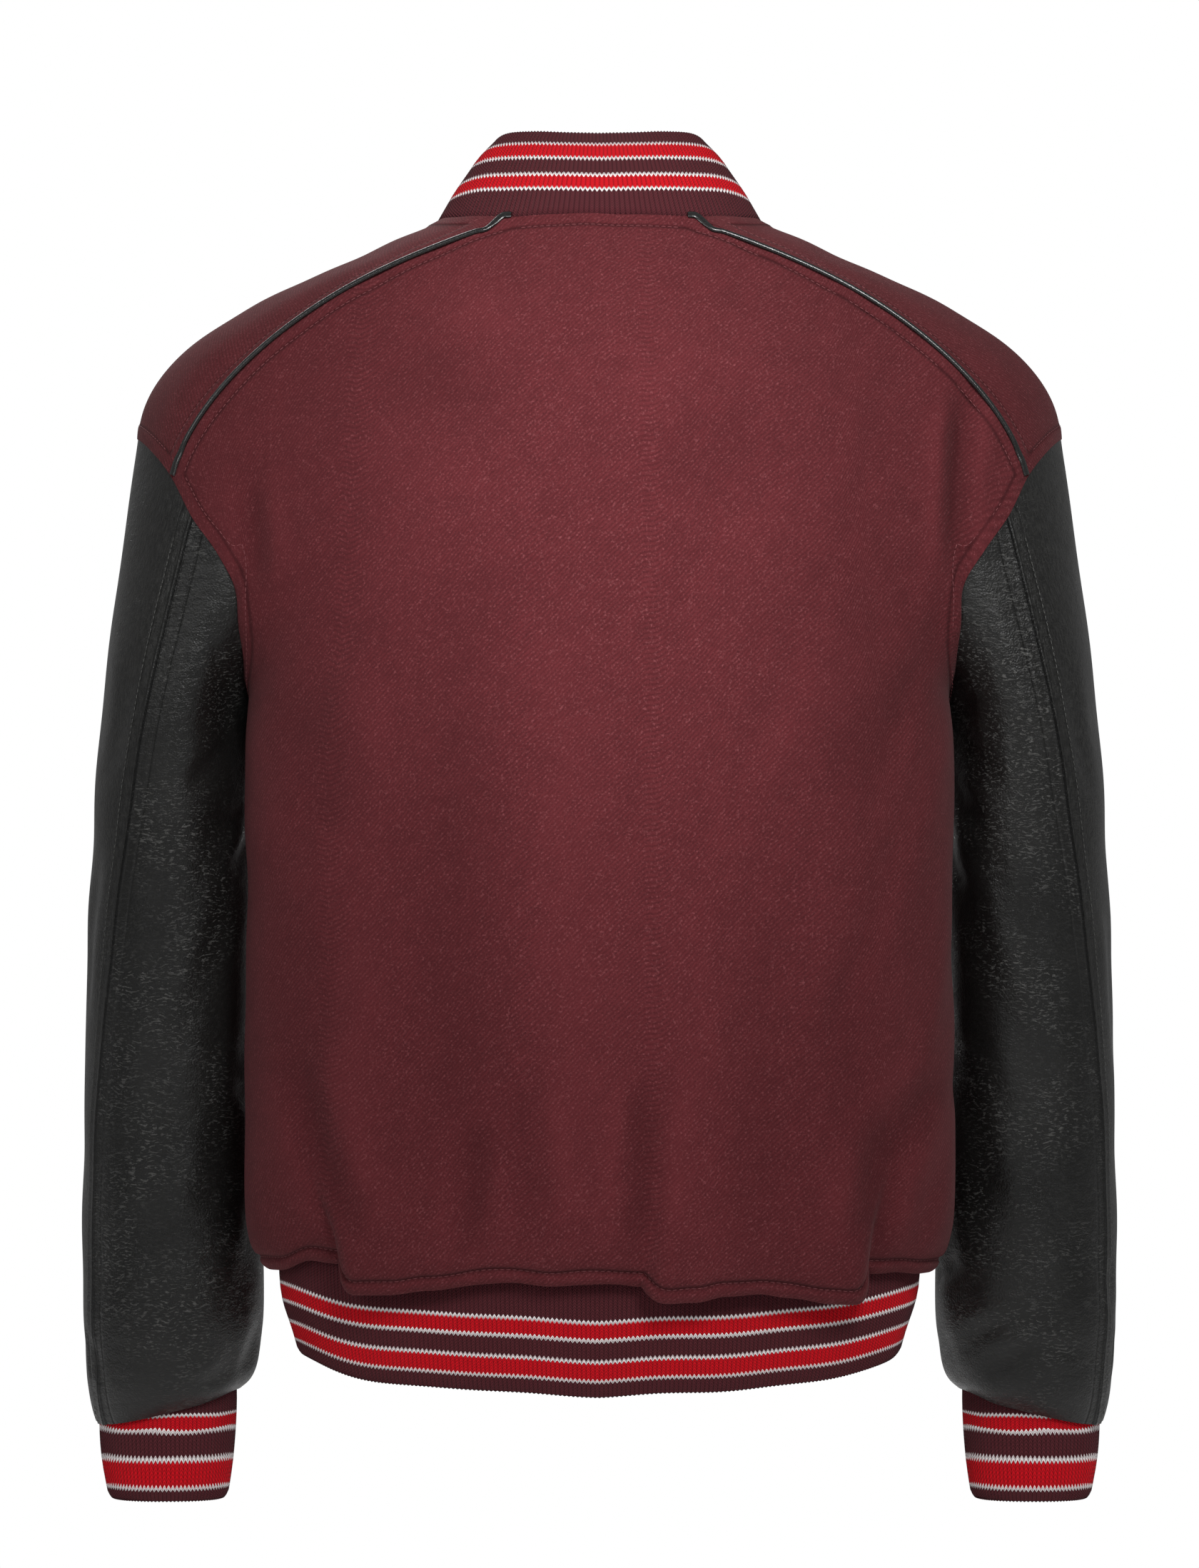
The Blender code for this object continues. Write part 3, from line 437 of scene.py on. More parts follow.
def resampled(line, places, closed=False):
    """Points at even distances along a line of points, at places from 0 to 1."""
    if closed:
        line = np.concatenate([line, line[:1]])
    far = lengths_along(line)
    return np.column_stack([np.interp(np.asarray(places) * far[-1], far, line[:, i]) for i in range(3)])


def smooth_step(value):
    """A rise from 0 to 1 that is level at both ends: 3 times the square less 2 times the cube."""
    value = np.clip(value, 0, 1)
    return value * value * (3 - 2 * value)


def bell(aside, width):
    """A bell curve, 1 in its middle: e to the power of less the square of the place over the width."""
    return np.exp(-((aside / width) ** 2))


def eased(at, places, values):
    """Values between places, with a level stretch at each place."""
    i = np.clip(np.searchsorted(places, at) - 1, 0, len(places) - 2)
    share = smooth_step((at - places[i]) / (places[i + 1] - places[i]))
    return values[i] + (values[i + 1] - values[i]) * share


def unit(vectors):
    """Vectors over their lengths."""
    return vectors / np.maximum(np.linalg.norm(vectors, axis=-1, keepdims=True), 1e-12)


def mirrored(grid):
    """Points or directions on the other side of the body: x changes its sign."""
    return grid * np.array([-1.0, 1.0, 1.0])


# What is laid as the wearer's left side, turned to either side.
SIDES = {"left": np.array, "right": mirrored}


def normals(grid, closed=False):
    """Unit normals of a grid of points, along columns x rows."""
    if closed:
        across = np.roll(grid, -1, axis=1) - np.roll(grid, 1, axis=1)
    else:
        across = np.gradient(grid, axis=1)
    return unit(np.cross(across, np.gradient(grid, axis=0)))


def far_from(grid, line):
    """Each point's distance from a line of close points."""
    flat = grid.reshape(-1, 3)
    far = np.full(len(flat), np.inf)
    for part in np.array_split(line, max(1, len(line) // 16)):
        far = np.minimum(far, np.linalg.norm(flat[:, None] - part[None], axis=-1).min(axis=1))
    return far.reshape(grid.shape[:-1])


# --- The armhole, shared by the body and the sleeve ---


def armhole_points(places):
    """Points of the left armhole at places counted along its table."""
    return spline(points(ARMHOLE, "x", "y", "z"), places)


def armhole_places(back_rows, front_rows, shoulder_rows):
    """Places of the seam's points up the back and up the front, both from the underarm to the piping."""
    knots = points(ARMHOLE, "x", "y", "z")
    back = even_places(knots, 0, PIPING_KNOT, back_rows)
    front = even_places(knots, len(knots) - 1, TIP_KNOT, front_rows)
    shoulder = even_places(knots, TIP_KNOT, PIPING_KNOT, shoulder_rows)
    return back, np.concatenate([front, shoulder[1:]])


def body_armhole():
    """The places of the body's rows on the armhole, up the back and up the front."""
    return armhole_places(BACK_ARM_ROWS, FRONT_ARM_ROWS, SHOULDER_ROWS)


# --- Body panels ---


def side_heights():
    """The rows up the side seam: close ones over the hem's roll, and level steps from there."""
    return np.concatenate([
        np.interp(np.linspace(0, 2, HEM_ROWS + 1), [0, 1, 2], [0, HEM_BEND, HEM_TOP]),
        np.linspace(HEM_TOP, UNDERARM, SIDE_ROWS + 1)[1:],
    ])  # fmt: skip


def back_heights():
    """The same up the side, then level steps to the piped seam."""
    return np.concatenate([side_heights(), np.linspace(UNDERARM, 1, BACK_ARM_ROWS + 1)[1:]])


def front_heights():
    """The same up the side, then level steps to the neck point, the shoulder's tip and the piping."""
    below = round(FRONT_ARM_ROWS * ARM_PARTS_TO_NECK_POINT / ARM_PARTS_FRONT)
    return np.concatenate([
        side_heights(),
        np.linspace(UNDERARM, NECK_POINT, below + 1)[1:],
        np.linspace(NECK_POINT, SHOULDER_TIP, FRONT_ARM_ROWS - below + 1)[1:],
        np.linspace(SHOULDER_TIP, 1, SHOULDER_ROWS + 1)[1:],
    ])  # fmt: skip


def side_edge(arm_places):
    """The outer edge of a body panel: the side seam, then its part of the armhole."""
    side = at_heights(SIDE_SEAM, side_heights(), "x", "y", "z")
    return np.concatenate([side, armhole_points(arm_places[1:])])


def neck_points(places):
    """Points of the neck seam's left half at places counted along its table."""
    return spline(points(NECK, "x", "y", "z"), places)


def piped_seam(t):
    """Points of the left piped seam, from 0 at the neck to 1 at the armhole."""
    return bezier(points(PIPED_SEAM, "x", "y", "z")[None], t)[0]


def above_hem(v):
    """The distance from the hem's edge up to a height v, near the hem."""
    return np.interp(v, *HEM_HEIGHTS.T)


def hung(grid, out, v, line, folds):
    """A panel whose lower part hangs unevenly. The sag is the line's own, plus each fold's drop times a
    step across the fold: a cubic that starts sharp and levels slowly, and is softer higher up. The
    cloth swells where it sags, and most of all beside a fold, in a bell with a dip before it. All of
    this dies out upwards."""
    x, up = grid[..., 0], above_hem(v)[:, None]
    fade = 1 - smooth_step(up / HANG_REACH)
    sag = eased(x, line["x"], line["sag"])
    over = 0 * x
    for place, top, side, drop, proud in zip(*folds.values()):
        aside = side * (x - place - (top - place) * (up / FOLD_REACH) ** FOLD_BEND)
        share = 1 - np.clip(1 - (aside + FOLD_LEAD) / (FOLD_STEP + FOLD_SOFTENING * up), 0, 1) ** 3
        sag += drop * share
        swell = bell(np.clip(aside, 0, None), FOLD_SPREAD) * share
        dip = LIP_SHARE * bell(aside, LIP_SPREAD) * (1 - share)
        over += proud * (swell - dip) * fade
    sag *= fade
    level = unit(out * np.array([1.0, 1.0, 0.0]))
    grid = grid + level * (over + HEM_BELLY * np.clip(sag, 0, None))[..., None]
    grid[..., 2] -= sag
    return grid


def back_half():
    """The left half of the back as rows of points, from the middle to the side."""
    v = back_heights()
    edge = side_edge(body_armhole()[0])
    middle = np.zeros((len(v), 3))
    middle[:, 1:] = at_heights(BACK, v, "y", "z")
    reach = at_heights(BACK, v, "reach", "fall")
    handle = middle + np.stack([reach[:, 0], 0 * v, -reach[:, 1]], axis=1)
    side_handle = at_heights(BACK, v, "side_x", "side_y", "side_z")
    controls = np.stack([middle, handle, side_handle, edge], axis=1)
    t = np.concatenate([
        np.linspace(0, BACK_NECK_SHARE, NECK_COLUMNS + 1)[:-1],
        np.linspace(BACK_NECK_SHARE, 1, PANEL_COLUMNS + 1),
    ])  # fmt: skip
    grid = bezier(controls, t)
    # The top row follows the neck seam and then the piped seam, and the rows below ease into it.
    top = np.concatenate([
        neck_points(np.linspace(0, 2, NECK_COLUMNS + 1))[:-1],
        piped_seam(np.linspace(0, 1, PANEL_COLUMNS + 1)),
    ])  # fmt: skip
    ease = np.clip((v - (1 - TOP_EASE)) / TOP_EASE, 0, 1) ** 2
    return grid + ease[:, None, None] * (top - grid[-1])[None]


def back_grid(plain=False):
    """The whole back, hung in its folds or plain."""
    left = back_half()
    grid = np.concatenate([mirrored(left)[:, :0:-1], left], axis=1)
    return grid if plain else hung(grid, -normals(grid), back_heights(), BACK_HEM, BACK_FOLDS)


def front_controls():
    """The section handles of the left front, with the heights of its rows."""
    v = front_heights()
    edge = side_edge(body_armhole()[1])
    start = at_heights(FRONT, v, "y", "z")
    neck = np.interp(v, FRONT["v"], FRONT["neck"])
    inner = np.where(
        (v < NECK_POINT)[:, None], np.column_stack([0 * v, start]), neck_points(np.clip(neck, 0, 8)),
    )  # fmt: skip
    inner_handle = at_heights(FRONT, v, "in_x", "in_y", "in_z")
    outer_handle = at_heights(FRONT, v, "out_x", "out_y", "out_z")
    return v, np.stack([inner, inner_handle, outer_handle, edge], axis=1)


def overlap_share(x):
    """How far the covered front has sunk, 0 to 1, at a distance from the middle of the front."""
    return 1 - smooth_step((x - FRONT_OVERLAP) / OVERLAP_BLEND)


def front_grid(under, plain=False):
    """One front, laid as the left one: rows of points, with the strip that passes the middle of the
    front and lies along the other front. `under` is the wearer's right front."""
    v, controls = front_controls()
    grid = bezier(controls, np.linspace(0, 1, PANEL_COLUMNS + 1))
    past = FRONT_OVERLAP * np.linspace(1, 0, OVERLAP_COLUMNS + 1)[:-1]
    strip = np.zeros((len(v), OVERLAP_COLUMNS, 3))
    strip[..., 0] = -past
    for line, row in zip(strip, bezier(controls, np.linspace(0, 1, FINE_POINTS))):
        line[:, 1] = np.interp(past, row[:, 0], row[:, 1])
        line[:, 2] = np.interp(past, row[:, 0], row[:, 2])
    grid = np.concatenate([strip, grid], axis=1)
    hem = (RIGHT_HEM, RIGHT_FOLDS) if under else (LEFT_HEM, LEFT_FOLDS)
    return grid if plain else hung(grid, normals(grid), v, *hem)


def sunk(grid):
    """The covered front, sunk below the other front and, lower down, below its rib."""
    v = front_heights()
    depth = sizes().wool_wall + 2 * SEAM_GAP
    depth += (HEM_SINK - sizes().wool_wall) * (1 - smooth_step(v / SINK_FADE))
    depth *= 1 - smooth_step((v - NECK_POINT) / SINK_FADE)
    return grid - normals(grid) * (depth[:, None] * overlap_share(grid[..., 0]))[..., None]


def front_kept():
    """Which points of a front's grid are cloth: the strip stops at the neck."""
    v = front_heights()
    keep = np.ones((len(v), OVERLAP_COLUMNS + PANEL_COLUMNS + 1), bool)
    keep[v > NECK_POINT + 1e-6, :OVERLAP_COLUMNS] = False
    return keep


def body_grids():
    """The back and both fronts, each with its outward normals, which agree along a shared seam."""
    back, fronts = back_grid(), [front_grid(under) for under in (False, True)]
    back_out, front_outs = -normals(back), [normals(front) for front in fronts]
    side = HEM_ROWS + SIDE_ROWS + 1
    for front_out in front_outs:
        for back_part, front_part in (
            (np.s_[-1, -PANEL_COLUMNS - 1 :], np.s_[-1, OVERLAP_COLUMNS:]),
            (np.s_[:side, -1], np.s_[:side, -1]),
        ):
            back_out[back_part] = front_out[front_part] = unit(back_out[back_part] + front_out[front_part])
        # The wearer's right side is handled as the left one, in a mirror.
        back_out = mirrored(back_out)[:, ::-1].copy()
    return (back, back_out), *zip(fronts, front_outs)


# --- Softness: creases, laps and unevenness ---


SHOULDER_RISE, SHOULDER_PLACE = 0.3, 1.9  # beside a crease, as shares of its depth and width
CREASE_FADE = 0.35  # of its length, at each end


def creases(across, along, rows):
    """The depth at each point of troughs laid from (a1, b1) to (a2, b2) with a bow between.
    A trough's section is a bell with a low shoulder each side, and it fades to nothing at both ends."""
    total = np.zeros(np.shape(across))
    for a1, b1, a2, b2, bow, width, depth in zip(*rows.values()):
        run = np.hypot(a2 - a1, b2 - b1)
        a_dir, b_dir = (a2 - a1) / run, (b2 - b1) / run
        share = ((across - a1) * a_dir + (along - b1) * b_dir) / run
        aside = (along - b1) * a_dir - (across - a1) * b_dir - bow * 4 * share * (1 - share)
        q = aside / width
        section = bell(q, 1) - SHOULDER_RISE * (bell(q - SHOULDER_PLACE, 1) + bell(q + SHOULDER_PLACE, 1))
        fade = smooth_step(share / CREASE_FADE), smooth_step((1 - share) / CREASE_FADE)
        total += depth * section * fade[0] * fade[1]
    return total


# The cloth's slow swell: each wave's length in each direction, its height and its start in radians.
WAVES = table("x y z size start", [
    (61, 47, 83, 1, 0.9), (43, 71, 39, 1, 2.3), (97, 33, 57, 0.8, 4.1), (29, 53, 31, 0.9, 0.4),
    (37, 89, 113, 0.6, 5.2), (139, 67, 77, 0.5, 1.7), (51, 121, 49, 0.6, 3.3),
])  # fmt: skip


RATE_X, RATE_Y, RATE_Z = 6.28, 4, 3  # how far a wave turns over its length in each direction
WAVES_HEIGHT = 3 * MM  # about what they reach together


def unevenness(grid):
    """A slow, irregular swell, about -1 to 1: a sum of sines along slanting directions."""
    total = np.zeros(grid.shape[:-1])
    for x, y, z, size, start in zip(*WAVES.values()):
        turns = grid[..., 0] / x * RATE_X + grid[..., 1] / y * RATE_Y + grid[..., 2] / z * RATE_Z
        total += size * np.sin(turns + start)
    return total / WAVES_HEIGHT


# --- Meshes ---


def add_mesh(name, vertices, face_sets, finish, uv=None, corner_uv=None, marks=None, sharp=None):
    """A piece from its points and arrays of faces. `uv` is for each point, `corner_uv` for each corner,
    and `marks` are named numbers for each point."""
    face_sets = [np.asarray(faces) for faces in face_sets if len(faces)]
    corners = np.concatenate([faces.ravel() for faces in face_sets]).astype(np.int32)
    sides = np.concatenate([np.full(len(faces), faces.shape[1]) for faces in face_sets])
    starts = np.concatenate([[0], np.cumsum(sides)[:-1]]).astype(np.int32)
    mesh = bpy.data.meshes.new(name)
    mesh.vertices.add(len(vertices))
    mesh.vertices.foreach_set("co", np.ascontiguousarray(vertices, np.float32).ravel())
    mesh.loops.add(len(corners))
    mesh.loops.foreach_set("vertex_index", corners)
    mesh.polygons.add(len(sides))
    mesh.polygons.foreach_set("loop_start", starts)
    mesh.update(calc_edges=True)
    if corner_uv is None and uv is not None:
        corner_uv = np.asarray(uv)[corners]
    if corner_uv is not None:
        layer = mesh.uv_layers.new(name="UVMap")
        layer.data.foreach_set("uv", np.ascontiguousarray(corner_uv, np.float32).ravel())
    for mark, values in (marks or {}).items():
        mesh.attributes.new(mark, "FLOAT", "POINT").data.foreach_set("value", values.astype(np.float32))
    mesh.materials.append(finish)
    mesh.shade_smooth()
    if sharp:
        mesh.set_sharp_from_angle(angle=math.radians(sharp))
    mesh.validate()
    made = bpy.data.objects.new(name, mesh)
    bpy.context.scene.collection.objects.link(made)
    return made


def seam_eased(grid, gap):
    """A panel's grid drawn in by half a seam gap along each of its four edges."""
    grid = grid.copy()
    for axis in (0, 1):
        lines = np.moveaxis(grid, axis, 0)
        for edge, inner in ((0, 1), (-1, -2)):
            lines[edge] += unit(lines[inner] - lines[edge]) * gap / 2
    return grid


def grid_quads(index):
    """Quads between the neighbouring points of a grid, from the points' numbers."""
    return np.stack([index[:-1, :-1], index[:-1, 1:], index[1:, 1:], index[1:, :-1]], axis=-1)


def cloth(name, grid, out, wall, finish, marks, keep=None, level=False):
    """A cloth wall: the grid's points and the same ones moved in against `out` by the wall's thickness,
    joined round every edge. Its UV map is in metres, with u to the right as seen from outside, and v up
    the cloth or, on a `level` one, the height."""
    grid = seam_eased(grid, SEAM_GAP)
    keep = np.ones(grid.shape[:2], bool) if keep is None else keep
    index = np.cumsum(keep).reshape(keep.shape) - 1
    quads = grid_quads(index)[grid_quads(keep).all(axis=-1)]
    outer, facing, count = grid[keep], out[keep], int(keep.sum())
    a, b, d = (outer[quads[:, i]] for i in (0, 1, 3))
    rightwards = np.sign((np.cross(b - a, d - a) * facing[quads[:, 0]]).sum())
    if rightwards < 0:
        quads = quads[:, ::-1]
    edges = np.stack([quads, np.roll(quads, -1, axis=1)], axis=-1).reshape(-1, 2)
    start, end = edges.T
    rim = edges[~np.isin(start * count + end, end * count + start)]
    rim_faces = np.column_stack([rim[:, 1], rim[:, 0], rim[:, 0] + count, rim[:, 1] + count])
    across = lengths_along(grid, axis=1)
    across -= across[:, grid.shape[1] // 2, None]
    up = grid[..., 2] if level else lengths_along(grid)
    uv = np.column_stack([across[keep] * rightwards, up[keep]])
    marks = {mark: np.tile(values[keep], 2) for mark, values in marks.items()}
    return add_mesh(
        name, np.concatenate([outer, outer - facing * wall]), [quads, quads[:, ::-1] + count, rim_faces],
        finish, uv=np.tile(uv, (2, 1)), marks=marks, sharp=CLOTH_SHARP,
    )  # fmt: skip


def dressed(made, nodes):
    """A finished piece: it rides on the jacket and stands for its solids."""
    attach(made, "root")
    if nodes:
        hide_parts(*nodes)
    return made


# --- Finishes ---


class Finish:
    """A material in the making. Each node is added with what feeds it, by socket name or number."""

    def __init__(self, name):
        self.material = bpy.data.materials.new(name)
        self.material.use_nodes = True
        self.tree = self.material.node_tree
        self.shader = self.tree.nodes["Principled BSDF"]

    def feed(self, socket, value):
        if isinstance(value, bpy.types.NodeSocket):
            self.tree.links.new(value, socket)
        else:
            socket.default_value = value

    def add(self, kind, feeds=None, out=0, **settings):
        node = self.tree.nodes.new(f"ShaderNode{kind}")
        for name, value in settings.items():
            setattr(node, name, value)
        for name, value in (feeds or {}).items():
            self.feed(node.inputs[name], value)
        return node.outputs[out]

    def math(self, operation, *values):
        return self.add("Math", dict(enumerate(values)), operation=operation)

    def sum(self, *parts):
        """The sum of values, each times its weight."""
        total, *others = (self.math("MULTIPLY", value, weight) for value, weight in parts)
        for other in others:
            total = self.math("ADD", total, other)
        return total

    def blend(self, share, first, second):
        return self.add("Mix", {0: share, 6: first, 7: second}, out=2, data_type="RGBA")

    def mark(self, name):
        """A number that the mesh holds at each of its points."""
        return self.add("Attribute", attribute_name=name, out=2)

    def noise(self, at, size, detail=2, roughness=0.5, stretch=None):
        """Noise whose blots are about `size` metres wide."""
        if stretch:
            at = self.add("Mapping", {"Vector": at, "Scale": stretch})
        feeds = {"Vector": at, "Scale": 1 / size, "Detail": detail, "Roughness": roughness}
        return self.add("TexNoise", feeds)

    def spread(self, value, low, high, to_low=0.0, to_high=1.0):
        """A value's stretch from low to high, made to run between two others."""
        feeds = {0: value, 1: low, 2: high, 3: to_low, 4: to_high}
        return self.add("MapRange", feeds)

    def bands(self, value, stops):
        """Plain colours, each from its stop up to the next one."""
        node = self.tree.nodes.new("ShaderNodeValToRGB")
        self.feed(node.inputs[0], value)
        node.color_ramp.interpolation = "CONSTANT"
        elements = node.color_ramp.elements
        for i, (place, plain) in enumerate(stops):
            element = elements[i] if i < len(elements) else elements.new(place)
            element.position, element.color = place, (*plain, 1)
        return node.outputs[0]

    def bump(self, height, distance, strength=1.0, normal=None):
        feeds = {"Height": height, "Distance": distance, "Strength": strength}
        if normal is not None:
            feeds["Normal"] = normal
        return self.add("Bump", feeds)

    def done(self, tone, roughness, normal=None, **uniform):
        for name, value in (("Base Color", tone), ("Roughness", roughness), ("Normal", normal)):
            if value is not None:
                self.feed(self.shader.inputs[name], value)
        for name, value in uniform.items():
            self.shader.inputs[name.replace("_", " ")].default_value = value
        return self.material


E = 2.718  # the base of natural logarithms, near enough for a bell


def shade(base, share):
    """A colour times a share, as a shader takes it."""
    return (*[min(1.0, channel * share) for channel in base], 1.0)


def object_place(made):
    return made.add("TexCoord", out=3)


def groove_at(made, far, place, width):
    """1 along a line at a distance from a seam, falling to 0 in a bell on both sides."""
    away = made.math("DIVIDE", made.math("SUBTRACT", far, place), width)
    return made.math("POWER", E, made.math("MULTIPLY", made.math("MULTIPLY", away, away), -1.0))


def wool_melton():
    """Felted wool: matted fibres, pale flecks, the twill's slanting lines under them and a soft sheen.
    Painted shade darkens it towards the sides, in the creases' hollows and along the stitching's groove, and
    a painted highlight lies on the creases' shoulders."""
    made = Finish("wool melton")
    at, base = object_place(made), colours().wool
    fibre = made.noise(at, 0.0008, 3, 0.65)
    flecks = made.noise(at, 0.0013, 3, 0.65)
    mottle = made.noise(at, 0.012, 3)
    slant = made.add("Mapping", {"Vector": made.add("UVMap"), "Rotation": (0, 0, math.pi / 4)})
    waves = {"Vector": slant, "Scale": 150, "Distortion": 2.2, "Detail": 2, "Detail Scale": 2.5}
    twill = made.add("TexWave", waves, out=1)
    tone = made.blend(made.spread(mottle, 0.35, 0.65), shade(base, 0.93), shade(base, 1.07))
    pale = (*[channel * 1.75 + 0.027 for channel in base], 1.0)
    tone = made.blend(made.spread(flecks, 0.54, 0.70, 0, 0.95), tone, pale)
    tone = made.blend(made.spread(fibre, 0.5, 0.3, 0, 0.6), tone, shade(base, 0.42))
    tone = made.blend(made.spread(twill, 0.3, 0.9, 0, 0.36), tone, shade(base, 0.4))
    groove = groove_at(made, made.mark("seam"), TOPSTITCH_INSET, 0.0011)
    # Painted shade along the stitching's groove.
    tone = made.blend(made.math("MULTIPLY", groove, 0.75), tone, shade(base, 0.3))
    # Painted shade in the creases' hollows, and a painted highlight on the low shoulders beside them.
    hollow = made.mark("hollow")
    tone = made.blend(made.spread(hollow, 0.0, 0.005, 0, 0.5), tone, shade(base, 0.2))
    tone = made.blend(made.spread(hollow, 0.0, -0.0012, 0, 0.13), tone, shade(base, 2.2))
    # Painted shade: the colour darkens towards the sides, away from the middle of the body.
    aside = made.math("ABSOLUTE", made.add("SeparateXYZ", {0: at}))
    tone = made.blend(made.spread(aside, 0.07, 0.15, 0, 0.2), tone, shade(base, 0.2))
    height = made.sum((fibre, 0.55), (flecks, 0.45), (groove, -0.8), (twill, -0.22))
    normal = made.bump(height, 0.0008, 0.7)
    return made.done(
        tone, 0.95, normal, Sheen_Weight=0.06, Sheen_Roughness=0.5, Sheen_Tint=(1, 0.7, 0.7, 1),
        Specular_IOR_Level=0.1,
    )  # fmt: skip


def black_leather():
    """Full-grain leather: fine pores all over, and where `grain` is high, patches of short level
    wrinkles whose crests are painted paler as glints of light. Elsewhere fine streaks run down the
    sleeve. The allowance along a sleeve's seam puckers."""
    made = Finish("black leather")
    at, base, uv = object_place(made), colours().leather, made.add("UVMap")
    grain, far = made.mark("grain"), made.mark("seam")
    warp = made.add("TexNoise", {"Vector": uv, "Scale": 90, "Detail": 1}, out=1)
    bent = made.add("VectorMath", {0: warp, 1: (0.5, 0.5, 0.5)}, operation="SUBTRACT")
    bent = made.add("VectorMath", {0: bent, "Scale": 0.005}, operation="SCALE")
    bent = made.add("VectorMath", {0: bent, 1: uv}, operation="ADD")
    wrinkle = made.noise(bent, 0.0011, 2, 0.55, stretch=(0.3, 1, 1))
    pebble = made.add("TexVoronoi", {"Vector": at, "Scale": 900, "Randomness": 1.0}, feature="SMOOTH_F1")
    pores = made.noise(at, 0.0007, 3, 0.6)
    drift = made.noise(at, 0.06, 2)
    patch = made.spread(made.noise(at, 0.042, 2, 0.6), 0.42, 0.60, 0.12, 1.0)
    glint_crests = made.math("MULTIPLY", made.math("MULTIPLY", grain, patch), made.spread(wrinkle, 0.55, 0.64))
    even = made.math("SUBTRACT", 1.0, grain)
    streak = made.math("MULTIPLY", made.noise(uv, 0.0013, 3, 0.6, stretch=(1, 0.22, 1)), even)
    tone = made.blend(made.spread(drift, 0.35, 0.7), shade(base, 0.6), shade(base, 0.95))
    # Painted highlight: the wrinkles' crests are painted paler, as glints of light. The same crests also
    # raise the bump.
    tone = made.blend(made.math("MULTIPLY", glint_crests, 0.55), tone, shade(base, 9))
    tone = made.blend(made.spread(streak, 0.33, 0.55, 0, 0.9), tone, shade(base, 2.6))
    tone = made.blend(made.spread(pores, 0.6, 0.8, 0, 0.4), tone, shade(base, 2.4))
    shadow = made.math("MULTIPLY", made.spread(far, 0.0026, 0.0010, 0, 0.9), grain)
    tone = made.blend(shadow, tone, shade(base, 0.1))
    rough = made.spread(made.math("ADD", drift, pores), 0.7, 1.3, 0.26, 0.42)
    gathers = made.noise(uv, 0.0024, 2, stretch=(0.3, 1, 1))
    pucker = made.math("MULTIPLY", gathers, made.spread(far, 0.010, 0.008))
    groove = groove_at(made, far, SLEEVE_STITCH, 0.0008)
    soft = made.noise(uv, 0.011, 2, 0.6, stretch=(0.6, 1, 1))
    bead = groove_at(made, far, 0.0013, 0.0008)
    normal = made.bump(made.sum((pucker, 0.7), (groove, -1.0), (bead, 0.8)), 0.0008, 0.9)
    normal = made.bump(soft, 0.0030, 0.35, normal)
    normal = made.bump(streak, 0.0008, 0.8, normal)
    normal = made.bump(made.math("MULTIPLY", glint_crests, 0.8), 0.0006, 0.8, normal)
    normal = made.bump(made.sum((pebble, -0.7), (pores, 0.4)), 0.00045, 0.9, normal)
    return made.done(tone, rough, normal, Specular_IOR_Level=0.3)


def piping_leather():
    """Thin leather stretched over a cord: nearly smooth, and glossier than the sleeves."""
    made = Finish("piping leather")
    at, base = object_place(made), colours().leather
    pores = made.noise(at, 0.0009, 3, 0.6)
    tone = made.blend(made.spread(pores, 0.4, 0.7), shade(base, 0.5), shade(base, 1.1))
    rough = made.spread(pores, 0.3, 0.7, 0.18, 0.30)
    return made.done(tone, rough, made.bump(pores, 0.0002, 0.5), Specular_IOR_Level=0.6)


STITCH_TURNS = 6.283 / 0.0017  # a full turn of a sine for each stitch's height
STITCH_SLANT = 0.0030  # how far a stitch's V rises from its valley to the wale's sides
STRIPE_OVERLAP = 0.0008  # how far each stripe's start lies above the last one's end, for that slant


def striped_rib():
    """Rib knit: a V for each stitch up each wale, and stripes whose edges run in teeth, one a wale. Painted
    shade darkens the valleys between the wales and the dips between the stitches.
    """
    made = Finish("striped rib")
    at = object_place(made)
    uv = made.add("SeparateXYZ", {0: made.add("UVMap")})
    wale, up = uv.node.outputs[0], uv.node.outputs[1]
    slant = made.math("ABSOLUTE", made.math("SUBTRACT", made.math("FRACT", wale), 0.5))
    along = made.math("ADD", up, made.math("MULTIPLY", slant, STITCH_SLANT))
    shades = {"dark": colours().rib_dark, "white": colours().rib_white, "red": colours().rib_red}
    starts = [0.0, *(end + STRIPE_OVERLAP for _, end, _ in STRIPES)]
    stops = [(start / STRIPE_SPAN, shades[name]) for start, (name, _, _) in zip(starts, STRIPES)]
    tone = made.bands(made.math("DIVIDE", along, STRIPE_SPAN), stops)
    stitch = made.math("SINE", made.math("MULTIPLY", along, STITCH_TURNS))
    valley = made.math("MULTIPLY", slant, 2.0)
    fibre = made.noise(at, 0.0007, 3, 0.6)
    # Painted shade in the valleys between the wales and the dips between the stitches, with a random
    # darkening of the fibres.
    dark = made.sum(
        (made.spread(valley, 0.5, 1.0), 0.42), (made.spread(stitch, 0.2, -1.0), 0.36),
        (made.spread(fibre, 0.5, 0.2), 0.22),
    )  # fmt: skip
    tone = made.blend(dark, tone, shade(colours().rib_dark, 0))
    normal = made.bump(made.sum((stitch, 0.4), (fibre, 0.5)), 0.0006, 0.8)
    return made.done(tone, 0.92, normal, Sheen_Weight=0.03, Sheen_Roughness=0.5, Specular_IOR_Level=0.1)


def thread(name, base):
    """Twisted thread: fine slanting strands."""
    made = Finish(name)
    at = object_place(made)
    strand = made.noise(at, 0.0005, 2)
    tone = made.blend(made.spread(strand, 0.3, 0.7), shade(base, 0.6), shade(base, 1.5))
    return made.done(tone, 0.75, made.bump(strand, 0.0002, 0.6))


